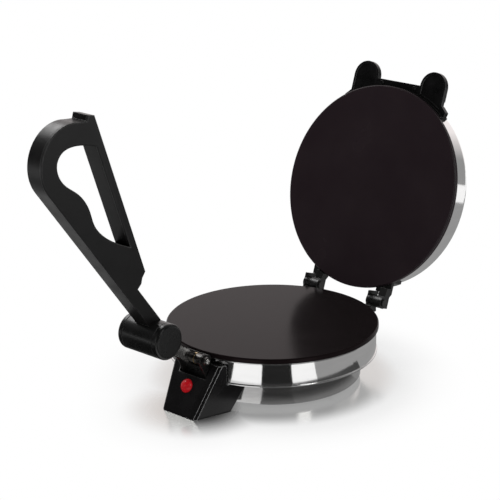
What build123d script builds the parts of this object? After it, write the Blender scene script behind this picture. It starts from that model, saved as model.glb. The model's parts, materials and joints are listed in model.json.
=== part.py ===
"""Electric roti maker: heated base plate, hinged heated lid, and a press lever on a chrome link.

Millimetres. The origin is the centre of the base plate's cooking face, +Z up. The hinge is at +Y,
the press lever at -Y. The lid is modelled closed, then turned open about its hinge, as it stands at
rest. The lever leans forward, as it stands at rest.
"""

from build123d import *
import os
from math import atan2, cos, degrees, hypot, radians, sin, sqrt

# --- Fits ------------------------------------------------------------------------------------
RUN = 0.05            # radial clearance of a pin that turns in its hole
SLIP = 0.02           # radial clearance of a piece that is pushed into its seat and stays
CURVE_GAP = 0.3       # gap between curved faces that lie close to each other
SHEET = 1.0           # thickness of the pressed sheet pieces

# --- Plates and what is behind them ------------------------------------------------------------
PLATE_R = 120.0       # both cooking plates
PLATE_T = 5.0
PLATE_BEVEL = 1.2
PLATE_GAP = 1.5       # between the two cooking faces when the lid is closed
SPIGOT_WALL = 5.0     # ring under the plate that centres it in its shell
SPIGOT_H = 3.0
ELEMENT_R = 75.0      # heating element, centre line of the loop
ELEMENT_TUBE_R = 3.5
ELEMENT_OPEN = 18.0   # degrees left open between the element's two ends
ELEMENT_SUNK = 2.8    # how deep the element sits in the plate's groove
ELEMENT_LEG = 12.0    # straight leg below the loop
TERMINAL_R = 1.5
TERMINAL_L = 6.0
CLAMP_WIDTH = 22.0    # ring that presses the element into its groove
CLAMP_T = 1.5
CLAMP_TAB = 19.0      # from the element's circle to the clamp screws
CLAMP_FIRST = 120      # direction of the clamp's first tab, degrees
TIE_FIRST = 90         # direction of the first tie, degrees
CLAMP_BOSS_R = 5.0
TIE_OUT = 5.0         # from the pan's wall to the ties' circle
TIE_BOSS_R = 4.0
TIE_HEAD_R = 3.6
TIE_BOSS_H = 11.0
TIE_SCREW_R = 2.0
SMALL_SCREW_R = 1.5
SHIELD_EDGE = 5.5     # from the ties' circle to the shield's rim
SHIELD_T = 0.8
INSULATION_T = 3.0
WINDOW_W = 40.0       # window for the element's legs in the shield and the insulation
WINDOW_D = 30.0
THERMOSTAT_R = 9.0
THERMOSTAT_H = 9.0
THERMOSTAT_Y = 20.0
FUSE_R = 3.0
FUSE_L = 22.0
FUSE_Y = -30.0

# --- Base --------------------------------------------------------------------------------------
BAND_INSET = 2.6      # the chrome band stands in from the plate's rim
BAND_H = 28.6
BEAD_R = 1.3          # rolled bead at the band's top and bottom
BAND_LIP = 5.0        # lip turned in under the band
PAN_STEP = 17.4       # the lower pan stands in from the band
FLANGE_ROOM = 0.6     # between the pan's flange and the band
STAND_H = 66.2        # cooking face above the table
FOOT_H = 5.0
FOOT_R = 9.0
FOOT_INSET = 11.0     # from the pan's wall to a rear foot's centre
FOOT_ANGLE = 57.4     # degrees from +X
VENT_COUNT = 6
VENT_FROM = 30.0
VENT_L = 34.0
VENT_W = 4.0
COVER_SCREW_INSET = 14.0   # from the pan's wall to the bottom cover's screws
COVER_LIP = 7.0       # the pan's lip beyond these screws
TERMINAL_BLOCK = (34.0, 16.0, 14.0)
TERMINAL_BLOCK_Y = -30.0
GROMMET_R = 6.0
GROMMET_BORE_R = 3.6
GROMMET_L = 9.0
GROMMET_UP = 14.0     # above the table

# --- Front housing, indicator ------------------------------------------------------------------
HOUSING_PROUD = 4.5        # front edge at the top, before the band
HOUSING_RUN = 32.0         # the front face leans forward by this much
HOUSING_TOP_Z = -11.5
HOUSING_REAR = 10.0        # rear edge on the table, before the pan
HOUSING_KNEE = 3.6         # above the band's lower edge, where the rear face ends
HOUSING_REAR_SLOPE = 0.706  # how far the rear face runs back for each mm up
HOUSING_HALF_W = 24.6      # half width at the foot's front edge
HOUSING_FLARE = 0.27       # growth of the half width for each mm back
HOUSING_WALL = 2.4
HOUSING_EDGE = 2.4         # chamfer along the front face's long edges
HOUSING_COVER_T = 2.0
HOUSING_SCREW_ANGLE = 14.0  # degrees either side of the front
HOUSING_COVER_SCREW = 20.9  # cover screws behind the foot's front edge
NOTCH_ROOM = 1.4           # notch beside the bracket
NOTCH_DEPTH = 15.5
LENS_R = 7.8
LENS_X = -2.5              # a little to the left, as in the picture
LENS_H = 5.5
LENS_UP = 33.0             # up the sloping face from the table
LENS_STEM_R = 5.0
LENS_STEM_L = 6.0
LAMP_R = 6.5
LAMP_L = 11.0

# --- Press lever -------------------------------------------------------------------------------
PIVOT_OUT = 10.1      # link's foot pivot, before the housing's top edge
PIVOT_Z = -4.4
REACH_Y = 61.0        # from the foot pivot to the roller's axis, lever at rest
REACH_Z = 41.4
PIN_R = 4.0           # both pivots
LINK_HALF_W = 8.5     # outside of the channel
LINK_T = 1.5
LINK_FRONT = 7.5      # from the pivot line to the flanges' front edge
LINK_BACK = 4.5       # from the pivot line to the outside of the web
LINK_TAIL = 8.0
HEEL = (-9.7, 2.4)    # heel that stops the link against the bracket's wall
WEB_START = 7.0
BUSH_R = 6.0
BUSH_PROUD = 0.3
BRACKET_T = 2.0
BRACKET_HALF_W = 16.4  # inside of the cheeks
BRACKET_EYE_R = 6.2
BRACKET_WALL_IN = 9.7  # front of the bracket's wall, behind the pivot
BRACKET_WALL_T = 1.6
BRACKET_WALL_TOP = -2.0
BRACKET_FOOT_DROP = 16.9   # low end of the foot, under the band
BRACKET_SHELF_DROP = 5.0   # the shelf, under the band
BRACKET_BOLT_R = 2.0
BRACKET_BOLT_X = 5.0
BRACKET_BOLT_AF = 7.0
BRACKET_BOLT_DROP = 11.7   # bolts, under the band
WASHER_T = 1.0
WASHER_R = 5.6
SPACER_GAP = 0.15     # side gap between the link's bushes and the spacers
THREAD_R = 2.5        # of the shoulder bolt
NUT_AF = 8.0          # across flats
NUT_H = 4.0
BOLT_HEAD_AF = 10.0
BOLT_HEAD_H = 4.0
BOLT_PROUD = 3.0
ROLLER_R = 19.5
ROLLER_HALF_L = 22.0  # barrel alone
CAP_L = 7.5
CAP_ROUND = 3.6
CAP_SPIGOT_L = 3.5
SEAM_W = 0.8
SEAM_DEPTH = 0.7
LINK_ROOM = 9.0       # half width of the barrel's middle slot
SLOT_GAP = 0.5        # between the link's edges and the slot's two ends
ROLLER_CHEEK = 13.5   # the barrel is solid from the slot to here, hollow beyond
ROLLER_WALL = 2.6
PIN_BOSS_R = 7.0
LINK_TURN = 55.0      # degrees from rest to upright
HANDLE_TURN = 52.0

# --- Handle: u runs along its straight front edge from the roller's axis, n towards the rear -------
HANDLE_TILT = 52.9    # degrees of the u axis above the horizontal, lever at rest
HANDLE_HALF_T = 11.0
HANDLE_COVER_T = 2.5
HANDLE_WALL = 2.6
HANDLE_FRONT_N = 1.3
NECK_N = 16.7
NECK_FOOT_U = 11.5
END_U = 231.0         # centre of the round end
END_R = 41.0
BEAK = ((258.6, 72.4), (250.5, 81.5), (254.0, 86.4), (247.6, 92.0))
NOSE = ((70.0, 35.6), (68.0, 28.4), (64.2, 23.6), (63.6, NECK_N))
HOLE_BAR = 8.8        # bar behind the finger hole
HOLE_EDGE = ((107.6, 37.6), (126.0, 28.6), (146.0, 21.9), (164.0, 21.6), (178.0, 26.4),
             (191.0, 28.6), (206.0, 27.0), (222.0, 22.3), (235.0, 22.2))
HOLE_TOP = ((247.0, 29.0), (250.3, 38.0), (245.5, 52.0), (221.0, 73.0))
HANDLE_BOSSES = ((52.0, 9.0), (92.0, 20.0), (140.0, 11.0), (214.0, 12.0), (262.0, 43.0), (238.0, 76.0))
HANDLE_BOSS_R = 4.0
HANDLE_SCREW_L = 17.0

# --- Lid, as it lies closed ---------------------------------------------------------------------
HINGE_OUT = 8.4       # hinge axis, behind the plate's rim
HINGE_Z = -1.4
LID_OPEN = 108.9      # degrees
SHELL_INSET = 3.5     # the lid's shell stands in from the plate's rim
LID_H = 33.6          # cooking face to the top of the side
SHELL_ROUND = 7.0
SHELL_BEAD_R = 0.9
DISH_R = 78.0         # raised disc in the lid's top
DISH_H = 2.0
DISH_RAMP = 4.0
EAR_Z = 14.2          # underside of the front bracket
EAR_T = 6.0
EAR_IN = 31.2
EAR_OUT = 66.8
EAR_PROUD = 29.0      # ears' tips before the shell
BAR_PROUD = 10.7
LUG_X = 74.5
LUG_BEHIND = 15.0     # the lugs' tips, behind the shell's front
LUG_CORE = 56.5       # hidden inner ends of the lugs and the ears, behind the shell's front
EAR_CORE = 36.5
EAR_POCKET = 0.8
EAR_RIM = 2.6
PEG_X = 24.0
PEG_R = 2.2
PEG_H = 1.6
SKIRT_T = 3.0         # skirt of the front bracket, which lies on the shell
SKIRT_Z = (9.0, 24.5)
SKIRT_HALF_ANGLE = 37.0
SKIRT_SCREW_ANGLE = 31.0

# --- Hinges ---------------------------------------------------------------------------------------
HINGE_X = 48.0
HINGE_HALF_W = 10.5
HINGE_SPLIT = 0.3     # half the side gap between a knuckle and its arm
KNUCKLE_R = 7.0
RING_DEPTH = 0.8
RING_W = 1.4
RING_COUNT = 3
HINGE_PIN_R = 2.5
HINGE_HEAD_R = 4.2
HINGE_HEAD_T = 1.6
FOOT_PLATE_T = 3.0
FOOT_PLATE_Z = (-30.0, -8.5)
ARM_Z = (-14.0, -5.6)
ARM_DEPTH = 9.0       # lid arm's back above the hinge axis, lid closed
ARM_END = 6.5         # lid arm's square end beyond the axis
ARM_ROOT = 17.0       # lid arm's root before the axis
STOP_T = 2.4
PAD_OUT = 1.0         # end of the lid arm's wide pad, behind the shell
PAD_Z = (7.0, 25.0)
PAD_T = 3.0
STOP_GAP = 0.3

BAND_R = PLATE_R - BAND_INSET
SHELL_R = PLATE_R - SHELL_INSET
PAN_R = BAND_R - PAN_STEP
TIE_PITCH_R = PAN_R + TIE_OUT
SHIELD_R = TIE_PITCH_R + SHIELD_EDGE
CLAMP_SCREW_R = ELEMENT_R + CLAMP_TAB
COVER_SCREW_R = PAN_R - COVER_SCREW_INSET
FOOT_X = (PAN_R - FOOT_INSET) * cos(radians(FOOT_ANGLE))
FOOT_Y = (PAN_R - FOOT_INSET) * sin(radians(FOOT_ANGLE))
TABLE_Z = -STAND_H
BAND_BOTTOM = -PLATE_T - BAND_H
PAN_FLANGE_TOP = BAND_BOTTOM + 2 * SHEET
COVER_TOP = TABLE_Z + FOOT_H + SHEET
LID_FACE_Z = PLATE_GAP
LID_TOP = LID_FACE_Z + LID_H
LID_BACK = LID_FACE_Z + PLATE_T
HOUSING_TOP_Y = -BAND_R - HOUSING_PROUD
HOUSING_FOOT_Y = HOUSING_TOP_Y - HOUSING_RUN
HOUSING_REAR_Y = -PAN_R - HOUSING_REAR
HOUSING_COVER_SCREW_Y = HOUSING_FOOT_Y + HOUSING_COVER_SCREW
PIVOT_Y = HOUSING_TOP_Y - PIVOT_OUT
ROLLER_Y = PIVOT_Y - REACH_Y
ROLLER_Z = PIVOT_Z + REACH_Z
BRACKET_WALL_Y = PIVOT_Y + BRACKET_WALL_IN
BRACKET_FOOT_Z = (BAND_BOTTOM - BRACKET_FOOT_DROP, BAND_BOTTOM - BRACKET_SHELF_DROP)
BRACKET_BOLT_Z = BAND_BOTTOM - BRACKET_BOLT_DROP
BRACKET_OUT = BRACKET_HALF_W + BRACKET_T
HINGE_Y = PLATE_R + HINGE_OUT
PAD_REACH = SHELL_R + PAD_OUT
EAR_REACH = SHELL_R + EAR_PROUD
BAR_REACH = SHELL_R + BAR_PROUD
LUG_REACH = SHELL_R - LUG_BEHIND
WIDE = PLATE_R / 2      # half width of cutting blocks, wider than the housing
THROUGH = BRACKET_OUT + 12.0   # half length of the holes through both cheeks

parts = {}


# --- Small helpers ----------------------------------------------------------------------------------
def box(x0, x1, y0, y1, z0, z1):
    """Box between two corners."""
    return Pos((x0 + x1) / 2, (y0 + y1) / 2, (z0 + z1) / 2) * Box(x1 - x0, y1 - y0, z1 - z0)


def post(r, z0, z1, x=0.0, y=0.0):
    """Upright cylinder."""
    return Pos(x, y, (z0 + z1) / 2) * Cylinder(r, z1 - z0)


def ring(r_out, r_in, z0, z1, x=0.0, y=0.0):
    """Upright tube."""
    return post(r_out, z0, z1, x, y) - post(r_in, z0 - 1, z1 + 1, x, y)


def rod(r, x0, x1, y, z):
    """Cylinder along X."""
    return Pos((x0 + x1) / 2, y, z) * Rot(0, 90, 0) * Cylinder(r, x1 - x0)


def side_plate(points, x0, x1):
    """Outline of (y, z) points, as thick as x0 to x1."""
    return extrude(Plane.YZ.offset(x0) * Polygon(*points, align=None), amount=x1 - x0, dir=(1, 0, 0))


def top_plate(points, z0, z1):
    """Outline of (x, y) points, as thick as z0 to z1."""
    return extrude(Plane.XY.offset(z0) * Polygon(*points, align=None), amount=z1 - z0, dir=(0, 0, 1))


def spun(points):
    """Outline of (radius, z) points, turned about Z."""
    return revolve(Plane.XZ * Polygon(*points, align=None), Axis.Z)


def around(count, first=0.0):
    """Angles of a pattern round Z."""
    return [first + 360.0 * i / count for i in range(count)]


def polar(r, angle):
    """Point at a radius and an angle in degrees."""
    return r * cos(radians(angle)), r * sin(radians(angle))


def screw(r, length, head_r, head_h):
    """Cross-recessed screw: head above z = 0, shank below."""
    head = post(head_r, 0, head_h)
    head = fillet(head.edges().sort_by(Axis.Z)[-1], head_h * 0.6)
    slot = box(-head_r * 0.55, head_r * 0.55, -0.45, 0.45, head_h * 0.45, head_h + 1)
    return head + post(r, -length, 0) - slot - Rot(0, 0, 90) * slot


def hexagon(across, height):
    """Hexagon prism on z = 0."""
    return extrude(RegularPolygon(across / sqrt(3), 6), amount=height, dir=(0, 0, 1))


def to_lid(shape):
    """Turns a stack that faces up into one that faces down, at the closed lid's place."""
    return Pos(0, 0, LID_FACE_Z) * Rot(180, 0, 0) * shape


def opened(shape):
    """Turns a closed lid piece to the open position at rest."""
    return shape.rotate(Axis((0, HINGE_Y, HINGE_Z), (1, 0, 0)), -LID_OPEN)


# --- A cooking plate and what is fixed behind it -------------------------------------------------------
def tie_angles():
    """Directions of the three ties, from the cooking plate to the sheet behind it."""
    return around(3, TIE_FIRST)


def clamp_angles():
    """Directions of the element clamp's three tabs, between the ties."""
    return around(3, CLAMP_FIRST)


def plate(spigot_r):
    """Cooking plate, face up on z = 0, with its groove, bosses and screw holes."""
    shape = chamfer(post(PLATE_R, -PLATE_T, 0).edges().sort_by(Axis.Z)[-1], PLATE_BEVEL)
    shape += ring(spigot_r, spigot_r - SPIGOT_WALL, -PLATE_T - SPIGOT_H, -PLATE_T)
    groove = Pos(0, 0, element_z()) * Torus(ELEMENT_R, ELEMENT_TUBE_R + 0.1)
    for angle in tie_angles():
        shape += post(TIE_BOSS_R, -PLATE_T - TIE_BOSS_H, -PLATE_T, *polar(TIE_PITCH_R, angle))
    for angle in clamp_angles():
        shape += post(CLAMP_BOSS_R, clamp_top(), -PLATE_T, *polar(CLAMP_SCREW_R, angle))
    shape -= groove
    for angle in tie_angles():
        shape -= post(TIE_SCREW_R + RUN, -PLATE_T - TIE_BOSS_H - 1, -PLATE_T, *polar(TIE_PITCH_R, angle))
    for angle in clamp_angles():
        shape -= post(SMALL_SCREW_R + RUN, clamp_top() - 1, -PLATE_T + 2, *polar(CLAMP_SCREW_R, angle))
    for x in thermostat_screw_x():
        shape -= post(SMALL_SCREW_R + RUN, -PLATE_T - 1, -PLATE_T + 3, x, THERMOSTAT_Y)
    return shape


def element_z():
    """Height of the element's centre line."""
    return -PLATE_T - ELEMENT_TUBE_R + ELEMENT_SUNK


def clamp_top():
    """Height of the clamp ring's upper face."""
    return element_z() - ELEMENT_TUBE_R - 0.1


def thermostat_screw_x():
    """Places of the thermostat's two screws."""
    return (-THERMOSTAT_R - 4, THERMOSTAT_R + 4)


def element():
    """Tubular heating element: an open loop with two straight legs and their terminals."""
    loop = revolve(Plane.XZ * Pos(ELEMENT_R, element_z()) * Circle(ELEMENT_TUBE_R), Axis.Z,
                   revolution_arc=360 - ELEMENT_OPEN)
    shape = Rot(0, 0, -90 + ELEMENT_OPEN / 2) * loop
    for side in (-1, 1):
        x, y = polar(ELEMENT_R, -90 + side * ELEMENT_OPEN / 2)
        shape += Pos(x, y, element_z()) * Sphere(ELEMENT_TUBE_R)
        shape += post(ELEMENT_TUBE_R, element_z() - ELEMENT_LEG, element_z(), x, y)
        shape += post(TERMINAL_R, element_z() - ELEMENT_LEG - TERMINAL_L, element_z(), x, y)
    return shape


def leg_window(z0, z1):
    """Room for the element's legs."""
    return box(-WINDOW_W / 2, WINDOW_W / 2, -ELEMENT_R - WINDOW_D / 2, -ELEMENT_R + WINDOW_D / 2, z0, z1)


def clamp():
    """Ring that presses the element into its groove, with three tabs."""
    z1 = clamp_top()
    z0 = z1 - CLAMP_T
    shape = ring(ELEMENT_R + CLAMP_WIDTH / 2, ELEMENT_R - CLAMP_WIDTH / 2, z0, z1)
    for angle in clamp_angles():
        tab = box(ELEMENT_R, CLAMP_SCREW_R + CLAMP_BOSS_R, -CLAMP_BOSS_R, CLAMP_BOSS_R, z0, z1)
        shape += Rot(0, 0, angle) * tab
    for angle in clamp_angles():
        shape -= post(SMALL_SCREW_R + RUN, z0 - 1, z1 + 1, *polar(CLAMP_SCREW_R, angle))
    return shape - leg_window(z0 - 1, z1 + 1)


def shield_disc(z0, z1):
    """Disc with tie holes, a window for the legs and one for the thermostat."""
    shape = post(SHIELD_R, z0, z1)
    for angle in tie_angles():
        shape -= post(TIE_SCREW_R + RUN, z0 - 1, z1 + 1, *polar(TIE_PITCH_R, angle))
    return shape - leg_window(z0 - 1, z1 + 1)


def stack(prefix, place, spigot_r, depth):
    """Makes a plate's own pieces. depth is from the cooking face to the sheet that the ties go through."""
    shield_top = -PLATE_T - TIE_BOSS_H
    insulation_top = shield_top - SHIELD_T
    insulation_bottom = insulation_top - INSULATION_T
    parts[prefix + "_cooking_plate"] = place(plate(spigot_r))
    parts[prefix + "_heating_element"] = place(element())
    parts[prefix + "_element_clamp"] = place(clamp())
    parts[prefix + "_heat_shield"] = place(shield_disc(shield_top - SHIELD_T, shield_top))
    parts[prefix + "_insulation"] = place(shield_disc(insulation_bottom, insulation_top))
    small = Rot(180, 0, 0) * screw(SMALL_SCREW_R, 6.5, 3.0, 1.8)
    thermostat_screw = Rot(180, 0, 0) * screw(SMALL_SCREW_R, 3.6, 2.6, 1.6)
    screws = [Pos(*polar(CLAMP_SCREW_R, a), clamp_top() - CLAMP_T) * small for a in clamp_angles()]
    screws += [Pos(x, THERMOSTAT_Y, -PLATE_T - 1.2) * thermostat_screw for x in thermostat_screw_x()]
    parts[prefix + "_inner_screws"] = place(Compound(children=screws))
    tubes = [ring(TIE_BOSS_R, TIE_SCREW_R + RUN, -depth, insulation_bottom, *polar(TIE_PITCH_R, a))
             for a in tie_angles()]
    parts[prefix + "_spacers"] = place(Compound(children=tubes))
    reach = depth + SHEET - PLATE_T - TIE_BOSS_H + 8
    tie = Rot(180, 0, 0) * screw(TIE_SCREW_R, reach, TIE_HEAD_R, 2.4)
    ties = [Pos(*polar(TIE_PITCH_R, a), -depth - SHEET) * tie for a in tie_angles()]
    parts[prefix + "_tie_screws"] = place(Compound(children=ties))
    half = THERMOSTAT_R + 7
    flange = box(-half, half, THERMOSTAT_Y - 6, THERMOSTAT_Y + 6, -PLATE_T - 1.2, -PLATE_T)
    for x in thermostat_screw_x():
        flange -= post(SMALL_SCREW_R + RUN, -PLATE_T - 2, -PLATE_T + 1, x, THERMOSTAT_Y)
    body = post(THERMOSTAT_R, -PLATE_T - THERMOSTAT_H, -PLATE_T - 1.2, 0, THERMOSTAT_Y)
    for x in (-4, 4):
        body += box(x - 1.5, x + 1.5, THERMOSTAT_Y - 0.4, THERMOSTAT_Y + 0.4, -PLATE_T - THERMOSTAT_H - 1.6,
                    -PLATE_T - THERMOSTAT_H)
    parts[prefix + "_thermostat"] = place(flange + body)
    fuse_z = -PLATE_T - FUSE_R - 0.1
    fuse = rod(FUSE_R, -FUSE_L / 2, FUSE_L / 2, FUSE_Y, fuse_z)
    parts[prefix + "_thermal_fuse"] = place(fuse + rod(0.8, -FUSE_L / 2 - 6, FUSE_L / 2 + 6, FUSE_Y, fuse_z))
    saddle = box(-5, 5, FUSE_Y - FUSE_R - 1.2, FUSE_Y + FUSE_R + 1.2, fuse_z - FUSE_R - 1.2, -PLATE_T)
    saddle += box(-5, 5, FUSE_Y - FUSE_R - 9, FUSE_Y + FUSE_R + 1.2, -PLATE_T - 1.2, -PLATE_T)
    saddle -= rod(FUSE_R + 0.1, -6, 6, FUSE_Y, fuse_z)
    saddle -= box(-6, 6, FUSE_Y - FUSE_R - 0.1, FUSE_Y + FUSE_R + 0.1, fuse_z, -PLATE_T + 1)
    parts[prefix + "_fuse_clip"] = place(saddle)


# --- Base shells ------------------------------------------------------------------------------------
def band():
    """Chrome band with a rolled bead at each edge and a lip turned in at the bottom."""
    shape = ring(BAND_R, BAND_R - SHEET, BAND_BOTTOM, -PLATE_T)
    shape += ring(BAND_R - SHEET / 2, BAND_R - SHEET - BAND_LIP, BAND_BOTTOM, BAND_BOTTOM + SHEET)
    for z in (-PLATE_T - BEAD_R, BAND_BOTTOM + BEAD_R):
        shape += Pos(0, 0, z) * Torus(BAND_R - 0.2, BEAD_R)
    shape -= post(BAND_R - SHEET, BAND_BOTTOM + SHEET, -PLATE_T + 1)
    for hinge_x in (-HINGE_X, HINGE_X):
        for screw_hole in base_hinge_screw_places(hinge_x):
            shape -= screw_hole * post(TIE_SCREW_R + RUN, -8, 8)
    return shape


def lower_pan():
    """Recessed pan: flange, wall and the turned-in lip that the bottom cover screws to."""
    flange_r = BAND_R - SHEET - FLANGE_ROOM
    shape = ring(flange_r, PAN_R - SHEET, PAN_FLANGE_TOP - SHEET, PAN_FLANGE_TOP)
    shape += ring(PAN_R, PAN_R - SHEET, COVER_TOP, PAN_FLANGE_TOP)
    shape += ring(PAN_R - SHEET / 2, COVER_SCREW_R - COVER_LIP, COVER_TOP, COVER_TOP + SHEET)
    for angle in tie_angles():
        shape -= post(TIE_SCREW_R + RUN, PAN_FLANGE_TOP - 2, PAN_FLANGE_TOP + 1, *polar(TIE_PITCH_R, angle))
    for angle in cover_screw_angles():
        shape -= post(SMALL_SCREW_R + RUN, COVER_TOP - 1, COVER_TOP + 2, *polar(COVER_SCREW_R, angle))
    for x in (-FOOT_X, FOOT_X):
        shape -= post(TIE_SCREW_R + RUN, COVER_TOP - 1, COVER_TOP + 2, x, FOOT_Y)
    shape -= wire_window()
    for place in housing_screw_places():
        shape -= place * post(SMALL_SCREW_R + RUN, -9, 2)
    for x in (-BRACKET_BOLT_X, BRACKET_BOLT_X):
        shape -= bracket_bolt_hole(x)
    return shape - grommet_hole()


def cover_screw_angles():
    """The bottom cover's screws."""
    return around(4, 0)


def bottom_cover():
    """Vented disc that closes the pan."""
    z0 = COVER_TOP - SHEET
    shape = post(PAN_R - SHEET, z0, COVER_TOP)
    for angle in around(VENT_COUNT, 15):
        slot = box(VENT_FROM, VENT_FROM + VENT_L, -VENT_W / 2, VENT_W / 2, z0 - 1, COVER_TOP + 1)
        shape -= Rot(0, 0, angle) * slot
    for angle in cover_screw_angles():
        shape -= post(SMALL_SCREW_R + RUN, z0 - 1, COVER_TOP + 1, *polar(COVER_SCREW_R, angle))
    for x in (-FOOT_X, FOOT_X):
        shape -= post(TIE_SCREW_R + RUN, z0 - 1, COVER_TOP + 1, x, FOOT_Y)
    return shape


def rubber_foot(x):
    """Rear foot with its stem pushed through the bottom cover."""
    z1 = COVER_TOP - SHEET
    z2 = COVER_TOP + SHEET
    foot = chamfer(post(FOOT_R, TABLE_Z, z1, x, FOOT_Y).edges().sort_by(Axis.Z)[0], 1.0)
    return foot + post(TIE_SCREW_R, z1, z2, x, FOOT_Y) + post(TIE_SCREW_R + 1.2, z2, z2 + 2, x, FOOT_Y)


def grommet_place():
    """Frame on the pan's back wall, with z pointing out."""
    return Location(Plane(origin=(0, PAN_R, TABLE_Z + GROMMET_UP), x_dir=(1, 0, 0), z_dir=(0, 1, 0)))


def grommet_hole():
    """Hole for the cord grommet."""
    return grommet_place() * post(GROMMET_R - 1, -6, 6)


def cord_grommet():
    """Bush that guards the supply cord where it enters."""
    inner = -SHEET - 2.2
    shape = post(GROMMET_R - 1 - SLIP, inner, GROMMET_L + inner)
    shape += post(GROMMET_R, 0.6, GROMMET_L + inner) + post(GROMMET_R, inner, -SHEET - 0.6)
    return grommet_place() * (shape - post(GROMMET_BORE_R, inner - 1, GROMMET_L))


def terminal_block():
    """Two-pole block on the bottom cover."""
    w, d, h = TERMINAL_BLOCK
    shape = Pos(0, TERMINAL_BLOCK_Y, COVER_TOP + h / 2) * Box(w, d, h)
    for x in (-w / 4, w / 4):
        shape -= post(2.5, COVER_TOP + h / 2, COVER_TOP + h + 1, x, TERMINAL_BLOCK_Y)
        shape -= Pos(x, TERMINAL_BLOCK_Y, COVER_TOP + h * 0.35) * Rot(90, 0, 0) * Cylinder(2, d + 2)
    return shape


# --- Front housing --------------------------------------------------------------------------------------
def face_y(z):
    """The sloping front face's y at a height."""
    slope = (HOUSING_TOP_Y - HOUSING_FOOT_Y) / (HOUSING_TOP_Z - TABLE_Z)
    return HOUSING_FOOT_Y + (z - TABLE_Z) * slope


def housing_block(inset, z_low):
    """Housing before its hollows, drawn in by inset."""
    face = hypot(HOUSING_TOP_Z - TABLE_Z, HOUSING_TOP_Y - HOUSING_FOOT_Y) / (HOUSING_TOP_Z - TABLE_Z)
    rear = hypot(1, HOUSING_REAR_SLOPE)
    top = HOUSING_TOP_Z - inset
    back = HOUSING_REAR_Y - inset * rear
    low_y = face_y(z_low) + inset * face
    knee = BAND_BOTTOM + HOUSING_KNEE
    y0, y1 = HOUSING_FOOT_Y - 10, -PAN_R / 2
    side = side_plate([(low_y, z_low), (face_y(top) + inset * face, top), (y1, top), (y1, knee),
                       (back + (knee - TABLE_Z) * HOUSING_REAR_SLOPE, knee),
                       (back + (z_low - TABLE_Z) * HOUSING_REAR_SLOPE, z_low)], -WIDE, WIDE)
    half = HOUSING_HALF_W - inset * hypot(1, HOUSING_FLARE)
    h0 = half + HOUSING_FLARE * (y0 - HOUSING_FOOT_Y)
    h1 = half + HOUSING_FLARE * (y1 - HOUSING_FOOT_Y)
    return side & top_plate([(-h0, y0), (h0, y0), (h1, y1), (-h1, y1)], z_low - 1, HOUSING_TOP_Z + 1)


def wire_window():
    """Window for the wires between the pan and the housing."""
    return box(-22, -14, -PAN_R - 6, -PAN_R + 12, TABLE_Z + 9, TABLE_Z + 17)


def housing_screw_places():
    """Frames of the two screws that hold the housing on the pan, z pointing out of the pan."""
    places = []
    for angle in (-90 - HOUSING_SCREW_ANGLE, -90 + HOUSING_SCREW_ANGLE):
        x, y = polar(PAN_R + CURVE_GAP + HOUSING_WALL, angle)
        out = (cos(radians(angle)), sin(radians(angle)), 0)
        places.append(Location(Plane(origin=(x, y, TABLE_Z + 22), x_dir=(0, 0, 1), z_dir=out)))
    return places


def bracket_seat_y():
    """Flat inside the housing that the bracket's foot lies on."""
    return -PAN_R - CURVE_GAP - HOUSING_WALL - 0.1


def bracket_bolt_hole(x):
    """Hole for one bracket bolt."""
    return Pos(x, -PAN_R, BRACKET_BOLT_Z) * Rot(90, 0, 0) * Cylinder(BRACKET_BOLT_R + RUN, 24)


def face_place():
    """Frame on the sloping face at the indicator, z pointing out."""
    rise = HOUSING_TOP_Z - TABLE_Z
    run = HOUSING_TOP_Y - HOUSING_FOOT_Y
    length = hypot(rise, run)
    origin = (LENS_X, HOUSING_FOOT_Y + LENS_UP * run / length, TABLE_Z + LENS_UP * rise / length)
    return Location(Plane(origin=origin, x_dir=(1, 0, 0), z_dir=(0, -rise / length, run / length)))


def front_housing():
    """Black housing under the lever, which is also the front foot."""
    outer = housing_block(0, TABLE_Z)
    long_edges = [e for e in outer.edges() if e.center().Y < HOUSING_TOP_Y - 5 and e.length > 55]
    outer = chamfer(long_edges, HOUSING_EDGE)
    reach = BAND_R + BEAD_R + CURVE_GAP
    ledge = BAND_BOTTOM - 0.4
    outer -= post(reach, ledge, 0) + post(PAN_R + CURVE_GAP, TABLE_Z - 1, 0)
    hollow = housing_block(HOUSING_WALL, TABLE_Z - 1)
    hollow -= post(reach + HOUSING_WALL, ledge - HOUSING_WALL, 0)
    hollow -= post(PAN_R + CURVE_GAP + HOUSING_WALL, TABLE_Z - 2, 0)
    shape = outer - hollow
    seat = box(-BRACKET_OUT, BRACKET_OUT, bracket_seat_y(), -PAN_R + 2, *BRACKET_FOOT_Z)
    shape += seat - post(PAN_R + CURVE_GAP, TABLE_Z, 0)
    wall_back = BRACKET_WALL_Y + BRACKET_WALL_T + 0.1
    notch = BRACKET_OUT + NOTCH_ROOM
    shape -= box(-notch, notch, HOUSING_FOOT_Y, wall_back, HOUSING_TOP_Z - NOTCH_DEPTH, HOUSING_TOP_Z + 1)
    half = BRACKET_OUT + 0.1
    shape -= box(-half, half, BRACKET_WALL_Y - 3, wall_back, BRACKET_FOOT_Z[1], HOUSING_TOP_Z + 1)
    shape -= face_place() * post(LENS_STEM_R + SLIP, -9, 9)
    shape -= wire_window()
    for place in housing_screw_places():
        shape -= place * post(SMALL_SCREW_R + RUN, -9, 2)
    for x in (-BRACKET_BOLT_X, BRACKET_BOLT_X):
        shape -= bracket_bolt_hole(x)
    for x in housing_cover_screw_x():
        tower = post(3.5, TABLE_Z + HOUSING_COVER_T + 0.4, TABLE_Z + 16, x, HOUSING_COVER_SCREW_Y)
        shape += tower & housing_block(0.5, TABLE_Z)
        shape -= post(SMALL_SCREW_R + RUN, TABLE_Z, TABLE_Z + 12, x, HOUSING_COVER_SCREW_Y)
    return shape


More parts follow.
